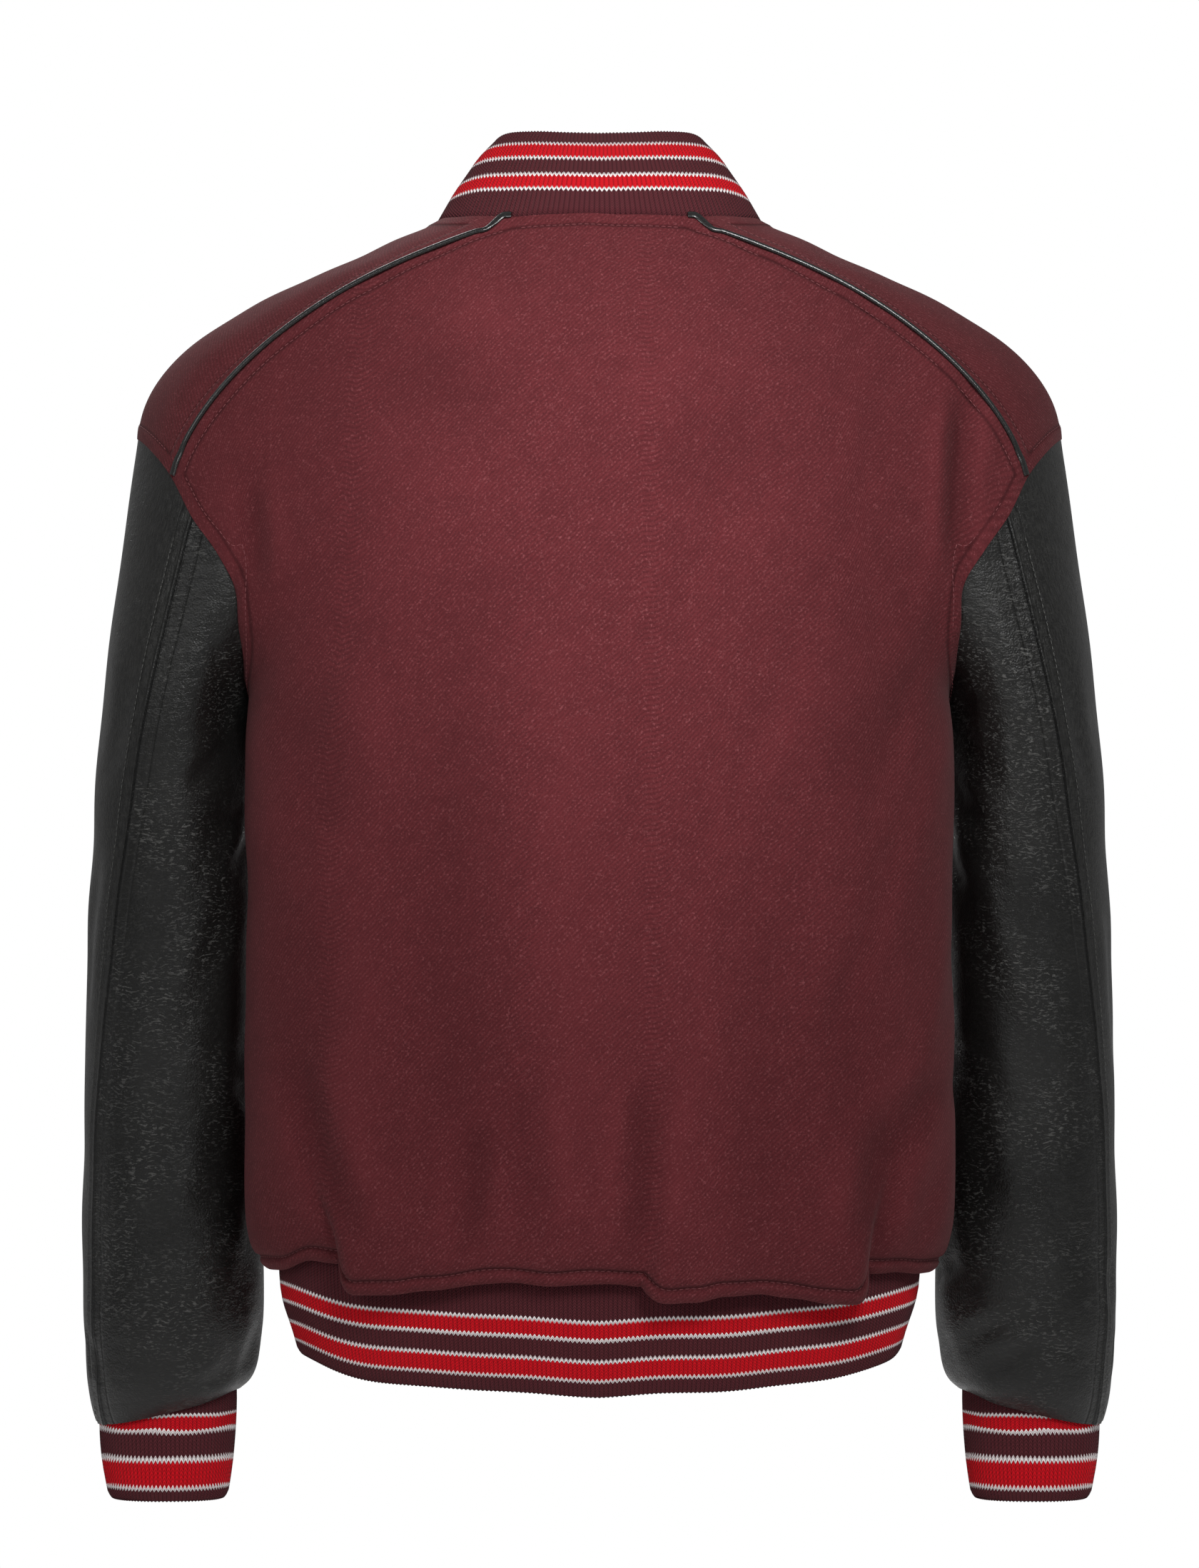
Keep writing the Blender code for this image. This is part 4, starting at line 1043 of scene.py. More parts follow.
def stud_enamel():
    """Dark enamel over brass: glossy, with a faint orange-peel and rubbed specks."""
    made = Finish("stud enamel")
    at, base = object_place(made), colours().stud
    peel = made.noise(at, 0.0016, 2)
    rub = made.noise(at, 0.0006, 4, 0.7)
    tone = made.blend(made.spread(rub, 0.62, 0.8), shade(base, 1), shade(base, 3))
    rough = made.spread(rub, 0.3, 0.8, 0.16, 0.34)
    return made.done(tone, rough, made.bump(peel, 0.0001, 0.4), Metallic=0.6, Coat_Weight=0.3)


def finish_named(name):
    """A finish, made the first time that a piece asks for it."""
    makers = {
        "wool melton": wool_melton,
        "black leather": black_leather,
        "piping leather": piping_leather,
        "striped rib": striped_rib,
        "wool thread": lambda: thread("wool thread", colours().wool_thread),
        "leather thread": lambda: thread("leather thread", colours().leather_thread),
        "stud enamel": stud_enamel,
    }
    return bpy.data.materials.get(name) or makers[name]()


# --- The wool body ---


LAP_SLOPE = 0.003  # the width of the slope past a lap's stitching


def lap_share(far, inset, slope):
    """How far a seam allowance stands up at a distance from its seam: 1, and 0 past its stitching."""
    return smooth_step((inset + slope / 2 - far) / slope)


def softened(grid, out, creased, seams, amount=1.0):
    """A panel's grid with its creases, its slow unevenness and its raised seam allowances, and each
    point's distance from the nearest of those seams."""
    far = np.min([far_from(grid, line) for line in seams], axis=0)
    lap = sizes().lap_height * lap_share(far, TOPSTITCH_INSET, LAP_SLOPE)
    shift = unevenness(grid) * sizes().unevenness * amount - creased + lap
    return grid + out * shift[..., None], far


ROLL_HEIGHT, ROLL_REACH, ROLL_POWER = 0.0019, 0.0088, 0.6
HEM_GROOVE, HEM_EDGE, GROOVE_WIDTH = 0.0014, 0.0016, 0.0014


def hem_roll(v):
    """The thick turned hem: a roll over its lowest 9 mm, as a half turn of a sine to a power, with a
    bell-shaped groove of stitching above and a tuck at its edge."""
    up = above_hem(v)
    roll = ROLL_HEIGHT * np.sin(np.clip(up / ROLL_REACH, 0, 1) * np.pi) ** ROLL_POWER
    return roll - HEM_GROOVE * bell(up - HEM_STITCH, GROOVE_WIDTH) - HEM_EDGE * bell(up, GROOVE_WIDTH)


def with_hem_stitch(far, v):
    """Distances from the seams, lowered so that the hem's stitching lies at the topstitching's inset."""
    return np.minimum(far, TOPSTITCH_INSET + np.abs(above_hem(v) - HEM_STITCH)[:, None])


BACK_NECK_END, FRONT_NECK_START = 60, 50  # of the neck seam's points, which meet at the piping


def body_seams(part):
    """The topstitched seams of a body panel, as lines of close points."""
    back, front = body_armhole()
    neck = neck_points(np.linspace(0, len(NECK["x"]) - 1, NECK_SEAM_POINTS))
    piped = piped_seam(np.linspace(0, 1, SEAM_POINTS))
    if part == "back":
        half = [armhole_points(back), piped, neck[:BACK_NECK_END]]
        return [*half, *(mirrored(line) for line in half)]
    return [armhole_points(front), piped, neck[FRONT_NECK_START:]]


def back_softened():
    """The wool back with its creases, laps and rolled hem, its normals and its marks."""
    back, out = body_grids()[0]
    depth = creases(back[..., 0], back[..., 2], BACK_CREASES)
    grid, far = softened(back, out, depth, body_seams("back"))
    grid += out * hem_roll(back_heights())[:, None, None]
    return grid, out, {"seam": with_hem_stitch(far, back_heights()), "hollow": depth}


CALM_START, CALM_SPAN, CALM_LEAST = 0.02, 0.08, 0.2  # the overlap is less uneven, so that it lies flat


def front_softened(side):
    """A wool front, in the same way. The right one is the covered one, and is laid as the left one
    until it is turned to its side."""
    under = side == "right"
    grid, out = body_grids()[2 if under else 1]
    depth = creases(grid[..., 0], grid[..., 2], RIGHT_CREASES if under else LEFT_CREASES)
    calm = smooth_step((grid[..., 0] + CALM_START) / CALM_SPAN) * (1 - CALM_LEAST) + CALM_LEAST
    grid, far = softened(sunk(grid) if under else grid, out, depth, body_seams("front"), calm)
    grid += out * hem_roll(front_heights())[:, None, None]
    marks = {"seam": with_hem_stitch(far, front_heights()), "hollow": depth}
    return SIDES[side](grid), SIDES[side](out), marks


class JACKET_OT_sew_body(bpy.types.Operator):
    """Sew the wool back and the two wool fronts"""

    bl_idname = "jacket.sew_body"
    bl_label = "Sew the Wool Body"
    bl_options = {"REGISTER", "UNDO"}

    def execute(self, context):
        wool, wall = finish_named("wool melton"), sizes().wool_wall
        for part, (grid, out, marks), keep, flat, area in (
            ("back", back_softened(), None, (0.64, 0.66), 0.36),
            ("front_left", front_softened("left"), front_kept(), (0.34, 0.72), 0.19),
            ("front_right", front_softened("right"), front_kept(), (0.34, 0.72), 0.19),
        ):
            piece = dressed(cloth(f"wool_{part}", grid, out, wall, wool, marks, keep), [part])
        return {"FINISHED"}


# --- The leather sleeves ---


def sleeve_grid():
    """The whole left sleeve: rings of points down the arm, from the underarm round by the back. A ring
    is an ellipse, wide x deep, whose place round the arm turns to follow the back seam. The rows are
    at even steps between the rings, so they are closer at the shaped end."""
    back, front = armhole_places(
        ARM_PARTS_BACK * ARM_SHARE, ARM_PARTS_FRONT * ARM_SHARE, ARM_PARTS_SHOULDER * ARM_SHARE
    )
    places = np.concatenate([back, front[-2:0:-1]])
    turn = np.interp(places, np.arange(len(ARMHOLE["turn"])), ARMHOLE["turn"])
    back_seam = BACK_SEAM_PART * ARM_SHARE
    front_seam = len(places) - FRONT_SEAM_PART * ARM_SHARE
    back_turn, front_turn = turn[back_seam], turn[front_seam]
    rings = [armhole_points(places)]
    for ring, (x, y, z, wide, deep, lean) in enumerate(zip(*SLEEVE.values()), start=1):
        seam = np.interp(ring, BACK_SEAM_TURN["v"], BACK_SEAM_TURN["turn"])
        moved = np.interp(turn[::-1], [-180, front_turn, back_turn, 180], [-180, front_turn, seam, 180])
        angle = np.radians(moved[::-1])
        across = np.cos(angle)
        rings.append(np.column_stack([
            x + wide * np.sign(across) * np.abs(across) ** SLEEVE_SQUARING,
            y + deep * np.sin(angle),
            z + lean * across,
        ]))  # fmt: skip
    steps = np.linspace(0, RINGS, SLEEVE_ROWS + 1)
    grid = spline(np.array(rings), steps)
    facing_body = np.clip(-np.cos(np.radians(turn)), 0, 1) * np.abs(np.sin(np.radians(turn)))
    near = np.clip(steps / TUCK_START, 0, 1) * (1 - smooth_step((steps - TUCK_START) / TUCK_FADE))
    grid[..., 0] += UNDERARM_TUCK * facing_body * near[:, None]
    return grid, turn, back_seam, front_seam


SLEEVE_LAP, SLEEVE_LAP_SLOPE = 1.3, 0.002  # the leather's lap against the wool's, and its slope's width
CHANNEL_SHARE, CHANNEL_PLACE, CHANNEL_WIDTH = 0.5, 0.0045, 0.002  # the hollow along the lap's middle
SMOOTH_ROWS = 4  # below the armhole, before the sleeve's wrinkles set in
SLEEVE_CREASES = {"left": LEFT_SLEEVE_CREASES, "right": RIGHT_SLEEVE_CREASES}


def sleeve_softened(side):
    """A sleeve with its wrinkles, and its back seam, where the upper sleeve laps over the under one: a
    raised allowance with a hollow along its middle. With it come its normals, each point's distance
    from that seam, and the columns of both seams."""
    grid, turn, back_seam, front_seam = sleeve_grid()
    low = smooth_step((np.arange(len(grid)) - len(grid) + SAG_ROWS) / SAG_ROWS)
    grid[..., 2] -= SLEEVE_SAG * low[:, None] * np.clip(np.sin(np.radians(turn)), 0, 1) ** 2
    out = normals(grid, closed=True)
    round_arm = turn * MM + 0 * grid[..., 2]
    depth = creases(round_arm, grid[..., 2], SLEEVE_CREASES[side])
    far = far_from(grid, grid[:, back_seam])
    lap = SLEEVE_LAP * sizes().lap_height * lap_share(far, SLEEVE_STITCH, SLEEVE_LAP_SLOPE)
    lap *= 1 - CHANNEL_SHARE * bell(far - CHANNEL_PLACE, CHANNEL_WIDTH)
    lap *= np.arange(grid.shape[1]) >= back_seam
    shift = unevenness(grid) * sizes().unevenness - depth + lap
    shift *= smooth_step(np.arange(len(grid)) / SMOOTH_ROWS)[:, None]
    return SIDES[side](grid + out * shift[..., None]), SIDES[side](out), far, back_seam, front_seam


UPPER_GRAIN, UNDER_GRAIN = 0.25, 0.95  # how wrinkled the leather is, 0 to 1


class JACKET_OT_sew_sleeves(bpy.types.Operator):
    """Sew the upper and the under leather of both sleeves"""

    bl_idname = "jacket.sew_sleeves"
    bl_label = "Sew the Leather Sleeves"
    bl_options = {"REGISTER", "UNDO"}

    def execute(self, context):
        leather, wall = finish_named("black leather"), sizes().leather_wall
        for side in SIDES:
            grid, out, far, back_seam, front_seam = sleeve_softened(side)
            last = grid.shape[1]
            upper = np.arange(back_seam, front_seam + 1)
            under = np.arange(front_seam, last + back_seam + 1) % last
            for part, columns, grain, flat, area in (
                ("upper", upper, UPPER_GRAIN, (0.24, 0.62), 0.12),
                ("under", under, UNDER_GRAIN, (0.20, 0.50), 0.08),
            ):
                name, seam = f"{part}_{side}", far[:, columns]
                marks = {"seam": seam, "grain": np.full(seam.shape, grain)}
                piece = cloth(
                    f"leather_{name}", grid[:, columns], out[:, columns], wall, leather, marks, level=True
                )
                dressed(piece, [f"sleeve_{name}"])
        return {"FINISHED"}


# --- The rib bands ---


def level_out(line, places, closed=False):
    """Unit normals of a ring seen from above, outwards for a ring that runs from front to left to back.
    They are smoothed over RING_SMOOTH of its length to each side."""
    ahead, behind = (
        resampled(line, at % 1 if closed else np.clip(at, 0, 1), closed)
        for at in (places + RING_SMOOTH, places - RING_SMOOTH)
    )
    along = ahead - behind
    return unit(np.column_stack([along[:, 1], -along[:, 0], 0 * along[:, 0]]))


def hem_edge():
    """The rib's seam, from the middle of the front round the left side and the back."""
    front = front_grid(False, plain=True)[0, OVERLAP_COLUMNS:]
    return np.concatenate([front[:-1], back_grid(plain=True)[0, ::-1], mirrored(front)[-2::-1]])


def neck_edge():
    """The body's neck edge, from the middle of the front round the left side and the back."""
    front = front_grid(under=False)[:, OVERLAP_COLUMNS]
    from_neck_point = front[front_controls()[0] > NECK_POINT - 1e-6]
    half = np.concatenate([from_neck_point[:-1], back_half()[-1, NECK_COLUMNS::-1]])
    return np.concatenate([half, mirrored(half)[-2::-1]])


def band_rows(band):
    """Drops and insets down a rib band's section, whose last few millimetres round inwards."""
    known, last = band["drop"], band["drop"][-1]
    above = np.linspace(known[0], last - BAND_EDGE, BAND_ROWS - len(EDGE_DROPS))
    drops = np.concatenate([above, last - EDGE_DROPS])
    insets = spline(points(band, "inset"), np.interp(drops, known, np.arange(len(known))), known)[:, 0]
    rounding = BAND_ROUNDING * np.clip(BAND_ROUND - last + drops, 0, None) ** 2 / BAND_ROUND
    return np.column_stack([drops, insets + rounding])


def ripple(places, counts):
    """A slow wave round a band, -1 to 1: the sum of sines that go `counts` times round it."""
    return sum(np.sin(2 * np.pi * count * places + 1.7 * count) for count in counts) / len(counts)


def hem_outline(places):
    """Rows of the hem band. It runs past the middle of the front at both ends, and its right end
    sinks below its left one. Its free edge rises to the sides. Slow waves move it out and down, more
    of them further down, and none beside the middle of the front."""
    edge = hem_edge()
    run = lengths_along(edge)[-1]
    spare = FRONT_OVERLAP / run
    along = places * (1 + 2 * spare) - spare
    held = np.clip(along, 0, 1)
    plain, out = resampled(edge, held), level_out(edge, held)
    past = np.clip(-along, 0, None) - np.clip(along - 1, 0, None)
    right_end = along > RIGHT_END_START
    sink = (HEM_SINK * overlap_share(-plain[:, 0]) * right_end)[:, None]
    calm = np.clip(smooth_step(np.abs(plain[:, 0]) / HEM_CALM) + (plain[:, 1] > 0), 0, 1)
    swell = calm * ripple(places, (5, 11, 17))
    rows = []
    for drop, inset in band_rows(HEM_BAND):
        low, waved = smooth_step(drop / HEM_BAND["drop"][-1]), smooth_step(drop / RIPPLE_REACH)
        row = plain - out * (inset + sink - HEM_SWELL * swell[:, None] * waved)
        row[:, 0] -= past * run
        row[:, 2] += low * HEM_SIDE_RISE * np.abs(out[:, 0]) ** HEM_RISE_BEND - drop
        row[:, 2] += HEM_RIPPLE * ripple(places, (6, 9, 14)) * calm * waved
        rows.append(row)
    return np.array(rows)


def cuff_outline(places):
    """Rows of the left cuff, from inside the sleeve's end down to a level edge."""
    end = sleeve_grid()[0][-1, ::-1]
    ring = resampled(end, places, closed=True)
    out = level_out(end, places, closed=True)
    rows = []
    for drop, inset in band_rows(CUFF_BAND):
        row = ring - out * inset
        row[:, 2] += (end[:, 2].mean() - ring[:, 2]) * smooth_step(drop / CUFF_BAND["drop"][-1]) - drop
        rows.append(row)
    return np.array(rows)


def right_cuff_outline(places):
    """Rows of the right cuff, the left one's mirror."""
    return mirrored(cuff_outline(places))


def collar_outline(places):
    """Rows of the collar, which leans inwards from the neck seam to its folded top edge, with a bow."""
    knots = points(COLLAR_TOP, "x", "y", "z")
    half = spline(knots, np.linspace(len(knots) - 1, 0, FINE_POINTS))
    edge = neck_edge()
    trim = COLLAR_END_GAP / lengths_along(edge)[-1]
    places = trim + places * (1 - 2 * trim)
    top = resampled(np.concatenate([half, mirrored(half)[-2::-1]]), places)
    low = resampled(edge, places)
    rise = top - low
    out = unit(np.cross(np.gradient(low, axis=0), rise))
    start = COLLAR_LIFT * unit(rise)
    shares = np.linspace(0, 1, BAND_ROWS)
    bows = spline(np.array(COLLAR_BOW)[:, None], shares * (len(COLLAR_BOW) - 1))[:, 0]
    rows = [low + start + (rise - start) * share + out * bow for share, bow in zip(shares, bows)]
    return np.array(rows)


FOLD_TURNS = np.radians([25, 60, 90, 120, 155])  # the rows round a band's folded edge
INNER_ROWS = (BAND_ROWS - 1, 10, 7, 3, 0)  # the outside rows that the inside repeats


def rib_band(name, outline, wales, closed, flip):
    """A doubled rib band. Its section goes down the outside, round the folded free edge and up the
    inside, and each wale stands out as one wave of a cosine all the way round it. A closed band is a
    cuff, whose UV height runs as its own stripes do. `flip` turns the faces of one that runs the
    other way round."""
    columns = wales * POINTS_PER_WALE
    places = np.arange(columns) / columns if closed else np.linspace(0, 1, columns + 1)
    skin = outline(places)
    out = normals(skin, closed) * (-1 if flip else 1)
    wall = sizes().rib_wall
    down = unit(skin[-1] - skin[-2])
    skin[-1] -= down * wall / 2
    centre = skin[-1] - out[-1] * wall / 2
    turns = [out[-1] * np.cos(turn) + down * np.sin(turn) for turn in FOLD_TURNS]
    facing = np.array([*out, *turns, *(-out[i] for i in INNER_ROWS)])
    base = np.array([
        *skin, *(centre + turn * wall / 2 for turn in turns), *(skin[i] - out[i] * wall for i in INNER_ROWS),
    ])  # fmt: skip
    wave = np.cos(np.arange(len(places)) * 2 * np.pi / POINTS_PER_WALE) * sizes().wale_height / 2
    grid = base + facing * wave[None, :, None]
    rows, wide = grid.shape[:2]
    far = lengths_along(base)
    up = np.abs(far - far[len(skin) + len(FOLD_TURNS) // 2])
    if closed:
        up = np.interp(up, [0, *(row[2] for row in STRIPES)], [0, *(row[1] for row in STRIPES)])
    r, c = np.meshgrid(np.arange(rows), np.arange(wide if closed else wide - 1), indexing="ij")
    r, c = r.ravel(), c.ravel()
    around_r = np.stack([r, r, r + 1, r + 1]) % rows
    around_c = np.stack([c, c + 1, c + 1, c])
    index = around_r * wide + around_c % wide
    uv = np.stack([around_c / POINTS_PER_WALE, up[around_r, around_c % wide]], axis=-1)
    quads, corner_uv = index.T, np.moveaxis(uv, 0, 1)
    if flip:
        quads, corner_uv = quads[:, ::-1], corner_uv[:, ::-1]
    face_sets, uv_sets = [quads], [corner_uv.reshape(-1, 2)]
    if not closed:
        ends = np.stack([np.arange(rows) * wide, (np.arange(rows) * wide + wide - 1)[::-1]])
        end_uv = np.stack([
            np.column_stack([np.zeros(rows), up[:, 0]]),
            np.column_stack([np.full(rows, wales), up[::-1, -1]]),
        ])  # fmt: skip
        if flip:
            ends, end_uv = ends[:, ::-1], end_uv[:, ::-1]
        face_sets.append(ends)
        uv_sets.append(end_uv.reshape(-1, 2))
    return add_mesh(
        name, grid.reshape(-1, 3), face_sets, finish_named("striped rib"), corner_uv=np.concatenate(uv_sets)
    )


class JACKET_OT_knit_bands(bpy.types.Operator):
    """Knit the collar, the hem band and both cuffs"""

    bl_idname = "jacket.knit_bands"
    bl_label = "Knit the Rib Bands"
    bl_options = {"REGISTER", "UNDO"}

    def execute(self, context):
        for name, node, outline, wales, closed, flip, flat in (
            ("hem", "hem_rib", hem_outline, HEM_WALES, False, True, (1.00, 0.078)),
            ("collar", "collar_rib", collar_outline, COLLAR_WALES, False, False, (0.48, 0.065)),
            ("cuff_left", "cuff_left", cuff_outline, CUFF_WALES, True, True, (0.24, 0.065)),
            ("cuff_right", "cuff_right", right_cuff_outline, CUFF_WALES, True, False, (0.24, 0.065)),
        ):
            band = dressed(rib_band(f"knit_{name}", outline, wales, closed, flip), [node])
        return {"FINISHED"}


# --- Trim ---


def circle(sides):
    """The cosines and the sines of even turns, each as a column."""
    turn = np.linspace(0, 2 * np.pi, sides, endpoint=False)
    return np.cos(turn)[:, None], np.sin(turn)[:, None]


def square_to(along, out):
    """The outward side of a line made square to it, and the direction aside from both."""
    up = unit(out - along * (out * along).sum(axis=-1, keepdims=True))
    return up, np.cross(along, up)


def rods(name, grid, finish, sharp=None):
    """Closed rods, from a grid of rods x rings x points round a ring: quads from each ring to the
    next, and a cap on each rod's first and last ring."""
    count, rings, sides = grid.shape[:3]
    rod, ring, c = (part.ravel() for part in np.meshgrid(
        np.arange(count), np.arange(rings - 1), np.arange(sides), indexing="ij"
    ))  # fmt: skip
    low, after = (rod * rings + ring) * sides, (c + 1) % sides
    quads = np.column_stack([low + c, low + after, low + sides + after, low + sides + c])
    first = np.arange(count)[:, None] * rings * sides
    first_caps = first + np.arange(sides)[::-1]
    last_caps = first + (rings - 1) * sides + np.arange(sides)
    return add_mesh(name, grid.reshape(-1, 3), [quads, first_caps, last_caps], finish, sharp=sharp)


def tube(name, line, out, high, wide, sides, finish):
    """A cord: ellipses `high` and `wide` across a line, turned to its outward side, with closed ends."""
    up, aside = square_to(unit(np.gradient(line, axis=0)), out)
    cosine, sine = circle(sides)
    ring = cosine * high[:, None, None] * up[:, None] + sine * wide[:, None, None] * aside[:, None]
    return rods(name, (line[:, None] + ring)[None], finish, sharp=CORD_SHARP)


# The piping at its ends: how far it strays down the back from its seam, and how flat it is, 0 to 1.
PIPING_ENDS = table("v stray share", [
    (0.004, -1.2, 1), (0.03, -2.6, 1), (0.05, 0.4, 0.9), (0.068, 3.6, 0.35), (0.10, 3.4, 0), (0.20, 2.6, 0),
    (0.40, 0, 0), (0.90, 0, 0), (0.945, 0, 0.8), (0.99, 0.5, 1),
])  # fmt: skip
FLAT_HEIGHT, FLAT_WIDTH = 0.55, 1.5
ALLOWANCE_PLACE, ALLOWANCE_EASE = 0.93, 0.03  # where the cord climbs onto the armhole's allowance


def piping_route():
    """The cord's line on the left piped seam, its outward side, and its heights and widths. Both ends
    are flat tabs: one turns up under the collar, and one crosses the armhole's allowance."""
    t = np.linspace(PIPING_ENDS["v"][0], PIPING_ENDS["v"][-1], PIPING_POINTS)
    back, out = body_grids()[0]
    top, below = back[-1, -PANEL_COLUMNS - 1 :], back[-4, -PANEL_COLUMNS - 1 :]
    out = unit(spline(out[-1, -PANEL_COLUMNS - 1 :], t * PANEL_COLUMNS))
    down = unit(spline(below - top, t * PANEL_COLUMNS))
    flat = eased(t, PIPING_ENDS["v"], PIPING_ENDS["share"])
    radius = sizes().piping_radius
    high, wide = radius * (1 - (1 - FLAT_HEIGHT) * flat), radius * (1 + (FLAT_WIDTH - 1) * flat)
    stray = at_heights(PIPING_ENDS, t, "stray")
    lift = sizes().lap_height * smooth_step((t - ALLOWANCE_PLACE) / ALLOWANCE_EASE) + SEAM_GAP
    line = piped_seam(t) + down * stray + out * (high + lift)[:, None]
    return line, out, high, wide


class JACKET_OT_pipe_shoulders(bpy.types.Operator):
    """Lay the leather piping in both shoulder seams"""

    bl_idname = "jacket.pipe_shoulders"
    bl_label = "Pipe the Shoulders"
    bl_options = {"REGISTER", "UNDO"}

    def execute(self, context):
        line, out, high, wide = piping_route()
        leather = finish_named("piping leather")
        for side, turned in SIDES.items():
            cord = tube(
                f"piping_cord_{side}", turned(line), turned(out), high, wide, PIPING_SIDES, leather
            )
            dressed(cord, [f"piping_{side}"])
        return {"FINISHED"}


LEAST_SINE = 0.35  # of the angle at which a panel's lines are taken to leave its edge
INWARD_STEP = 3  # the points from the edge that show a line's way into the panel
START_TRIM, END_TRIM, TOP_TRIM = 3, 6, 4  # rows or columns that stitching leaves free at its ends


def beside_edge(lines, outs, inset):
    """A line at a distance from a panel's edge. `lines` start at the edge, one for each of its points,
    and run into the panel. The step along each is longer where it leaves the edge aslant."""
    seam = unit(np.gradient(lines[:, 0], axis=0))
    inwards = unit(lines[:, INWARD_STEP] - lines[:, 0])
    sine = np.linalg.norm(np.cross(seam, inwards), axis=1)
    need = inset / np.clip(sine, LEAST_SINE, 1)
    far = lengths_along(lines, axis=1)
    i = np.clip((far < need[:, None]).sum(axis=1) - 1, 0, lines.shape[1] - 2)
    row = np.arange(len(lines))
    share = ((need - far[row, i]) / (far[row, i + 1] - far[row, i]))[:, None]
    line = lines[row, i] * (1 - share) + lines[row, i + 1] * share
    return line, unit(outs[row, i] * (1 - share) + outs[row, i + 1] * share)


def beside_armhole(grid, out):
    """A stitching line beside a body panel's armhole, the upper part of its last column."""
    rows = slice(HEM_ROWS + SIDE_ROWS, -TOP_TRIM)
    return beside_edge(grid[rows, ::-1], out[rows, ::-1], TOPSTITCH_INSET)


def below_top(grid, out, columns):
    """A stitching line below a stretch of a body panel's top edge."""
    return beside_edge(
        grid[::-1, columns].swapaxes(0, 1), out[::-1, columns].swapaxes(0, 1), TOPSTITCH_INSET
    )


# Each ring of a stitch: its place along it, and its radius and its rise over the thread's radius.
STITCH_SECTION = np.array([(0, 0.35, -0.35), (0.25, 0.95, 0.25), (0.75, 0.95, 0.25), (1, 0.35, -0.35)])


def stitches(name, routes, finish):
    """Topstitching: a short rod of thread for each stitch, with four rings, dipping at both ends."""
    stitch, radius = sizes().stitch_length, sizes().thread_radius
    pitch = stitch + sizes().stitch_gap
    place, size, lift = STITCH_SECTION.T
    cosine, sine = circle(THREAD_SIDES)
    made_rods = []
    for line, out in routes:
        far = lengths_along(line)
        count = int(far[-1] / pitch)
        start = (np.arange(count) + 0.5) * far[-1] / count - stitch / 2
        at = start[:, None] + place * stitch
        middle, out = (
            np.stack([np.interp(at, far, values[:, i]) for i in range(3)], axis=-1) for values in (line, out)
        )
        up, aside = square_to(unit(middle[:, -1] - middle[:, 0])[:, None], out)
        ring = cosine * up[:, :, None] + sine * aside[:, :, None]
        rise = radius * lift[:, None]
        made_rods.append((middle + up * rise)[:, :, None] + ring * (radius * size[:, None, None]))
    dressed(rods(name, np.concatenate(made_rods), finish), [])


class JACKET_OT_topstitch(bpy.types.Operator):
    """Topstitch the seams of the body and the sleeves"""

    bl_idname = "jacket.topstitch"
    bl_label = "Topstitch the Seams"
    bl_options = {"REGISTER", "UNDO"}

    def execute(self, context):
        wool_thread, leather_thread = finish_named("wool thread"), finish_named("leather thread")
        hem = np.abs(above_hem(back_heights()) - HEM_STITCH).argmin()
        back, out, _ = back_softened()
        left_piped = slice(2 * NECK_COLUMNS + PANEL_COLUMNS + START_TRIM, -END_TRIM)
        routes = [beside_armhole(back, out), below_top(back, out, left_piped)]
        routes += [(mirrored(line), mirrored(facing)) for line, facing in routes]
        neck = slice(PANEL_COLUMNS + 2, PANEL_COLUMNS + 2 * NECK_COLUMNS - 1)
        routes += [below_top(back, out, neck), (back[hem], out[hem])]
        stitches("stitching_back", routes, wool_thread)
        piped = slice(OVERLAP_COLUMNS + START_TRIM, -END_TRIM)
        for side in SIDES:
            front, out, _ = front_softened(side)
            routes = [beside_armhole(front, out), below_top(front, out, piped), (front[hem], out[hem])]
            stitches(f"stitching_front_{side}", routes, wool_thread)
        rows = slice(END_TRIM, -END_TRIM)
        for side in SIDES:
            grid, out, _, back_seam, front_seam = sleeve_softened(side)
            upper = np.s_[rows, back_seam:front_seam]
            routes = [beside_edge(grid[upper], out[upper], SLEEVE_STITCH)]
            stitches(f"stitching_sleeve_{side}", routes, leather_thread)
        return {"FINISHED"}


# A press stud's cap: radius and height as shares of the cap's, from its skirt to its crown.
STUD_PROFILE = np.array([
    (0.92, -0.25), (0.97, -0.1), (1, 0.08), (0.99, 0.28), (0.95, 0.42), (0.88, 0.52), (0.80, 0.55),
    (0.74, 0.60), (0.66, 0.78), (0.54, 0.90), (0.38, 0.97), (0.20, 1.0), (0.06, 1.0),
])  # fmt: skip
BAND_FACE = slice(2, 9)  # the rows of the hem band that a stud's tilt is read from


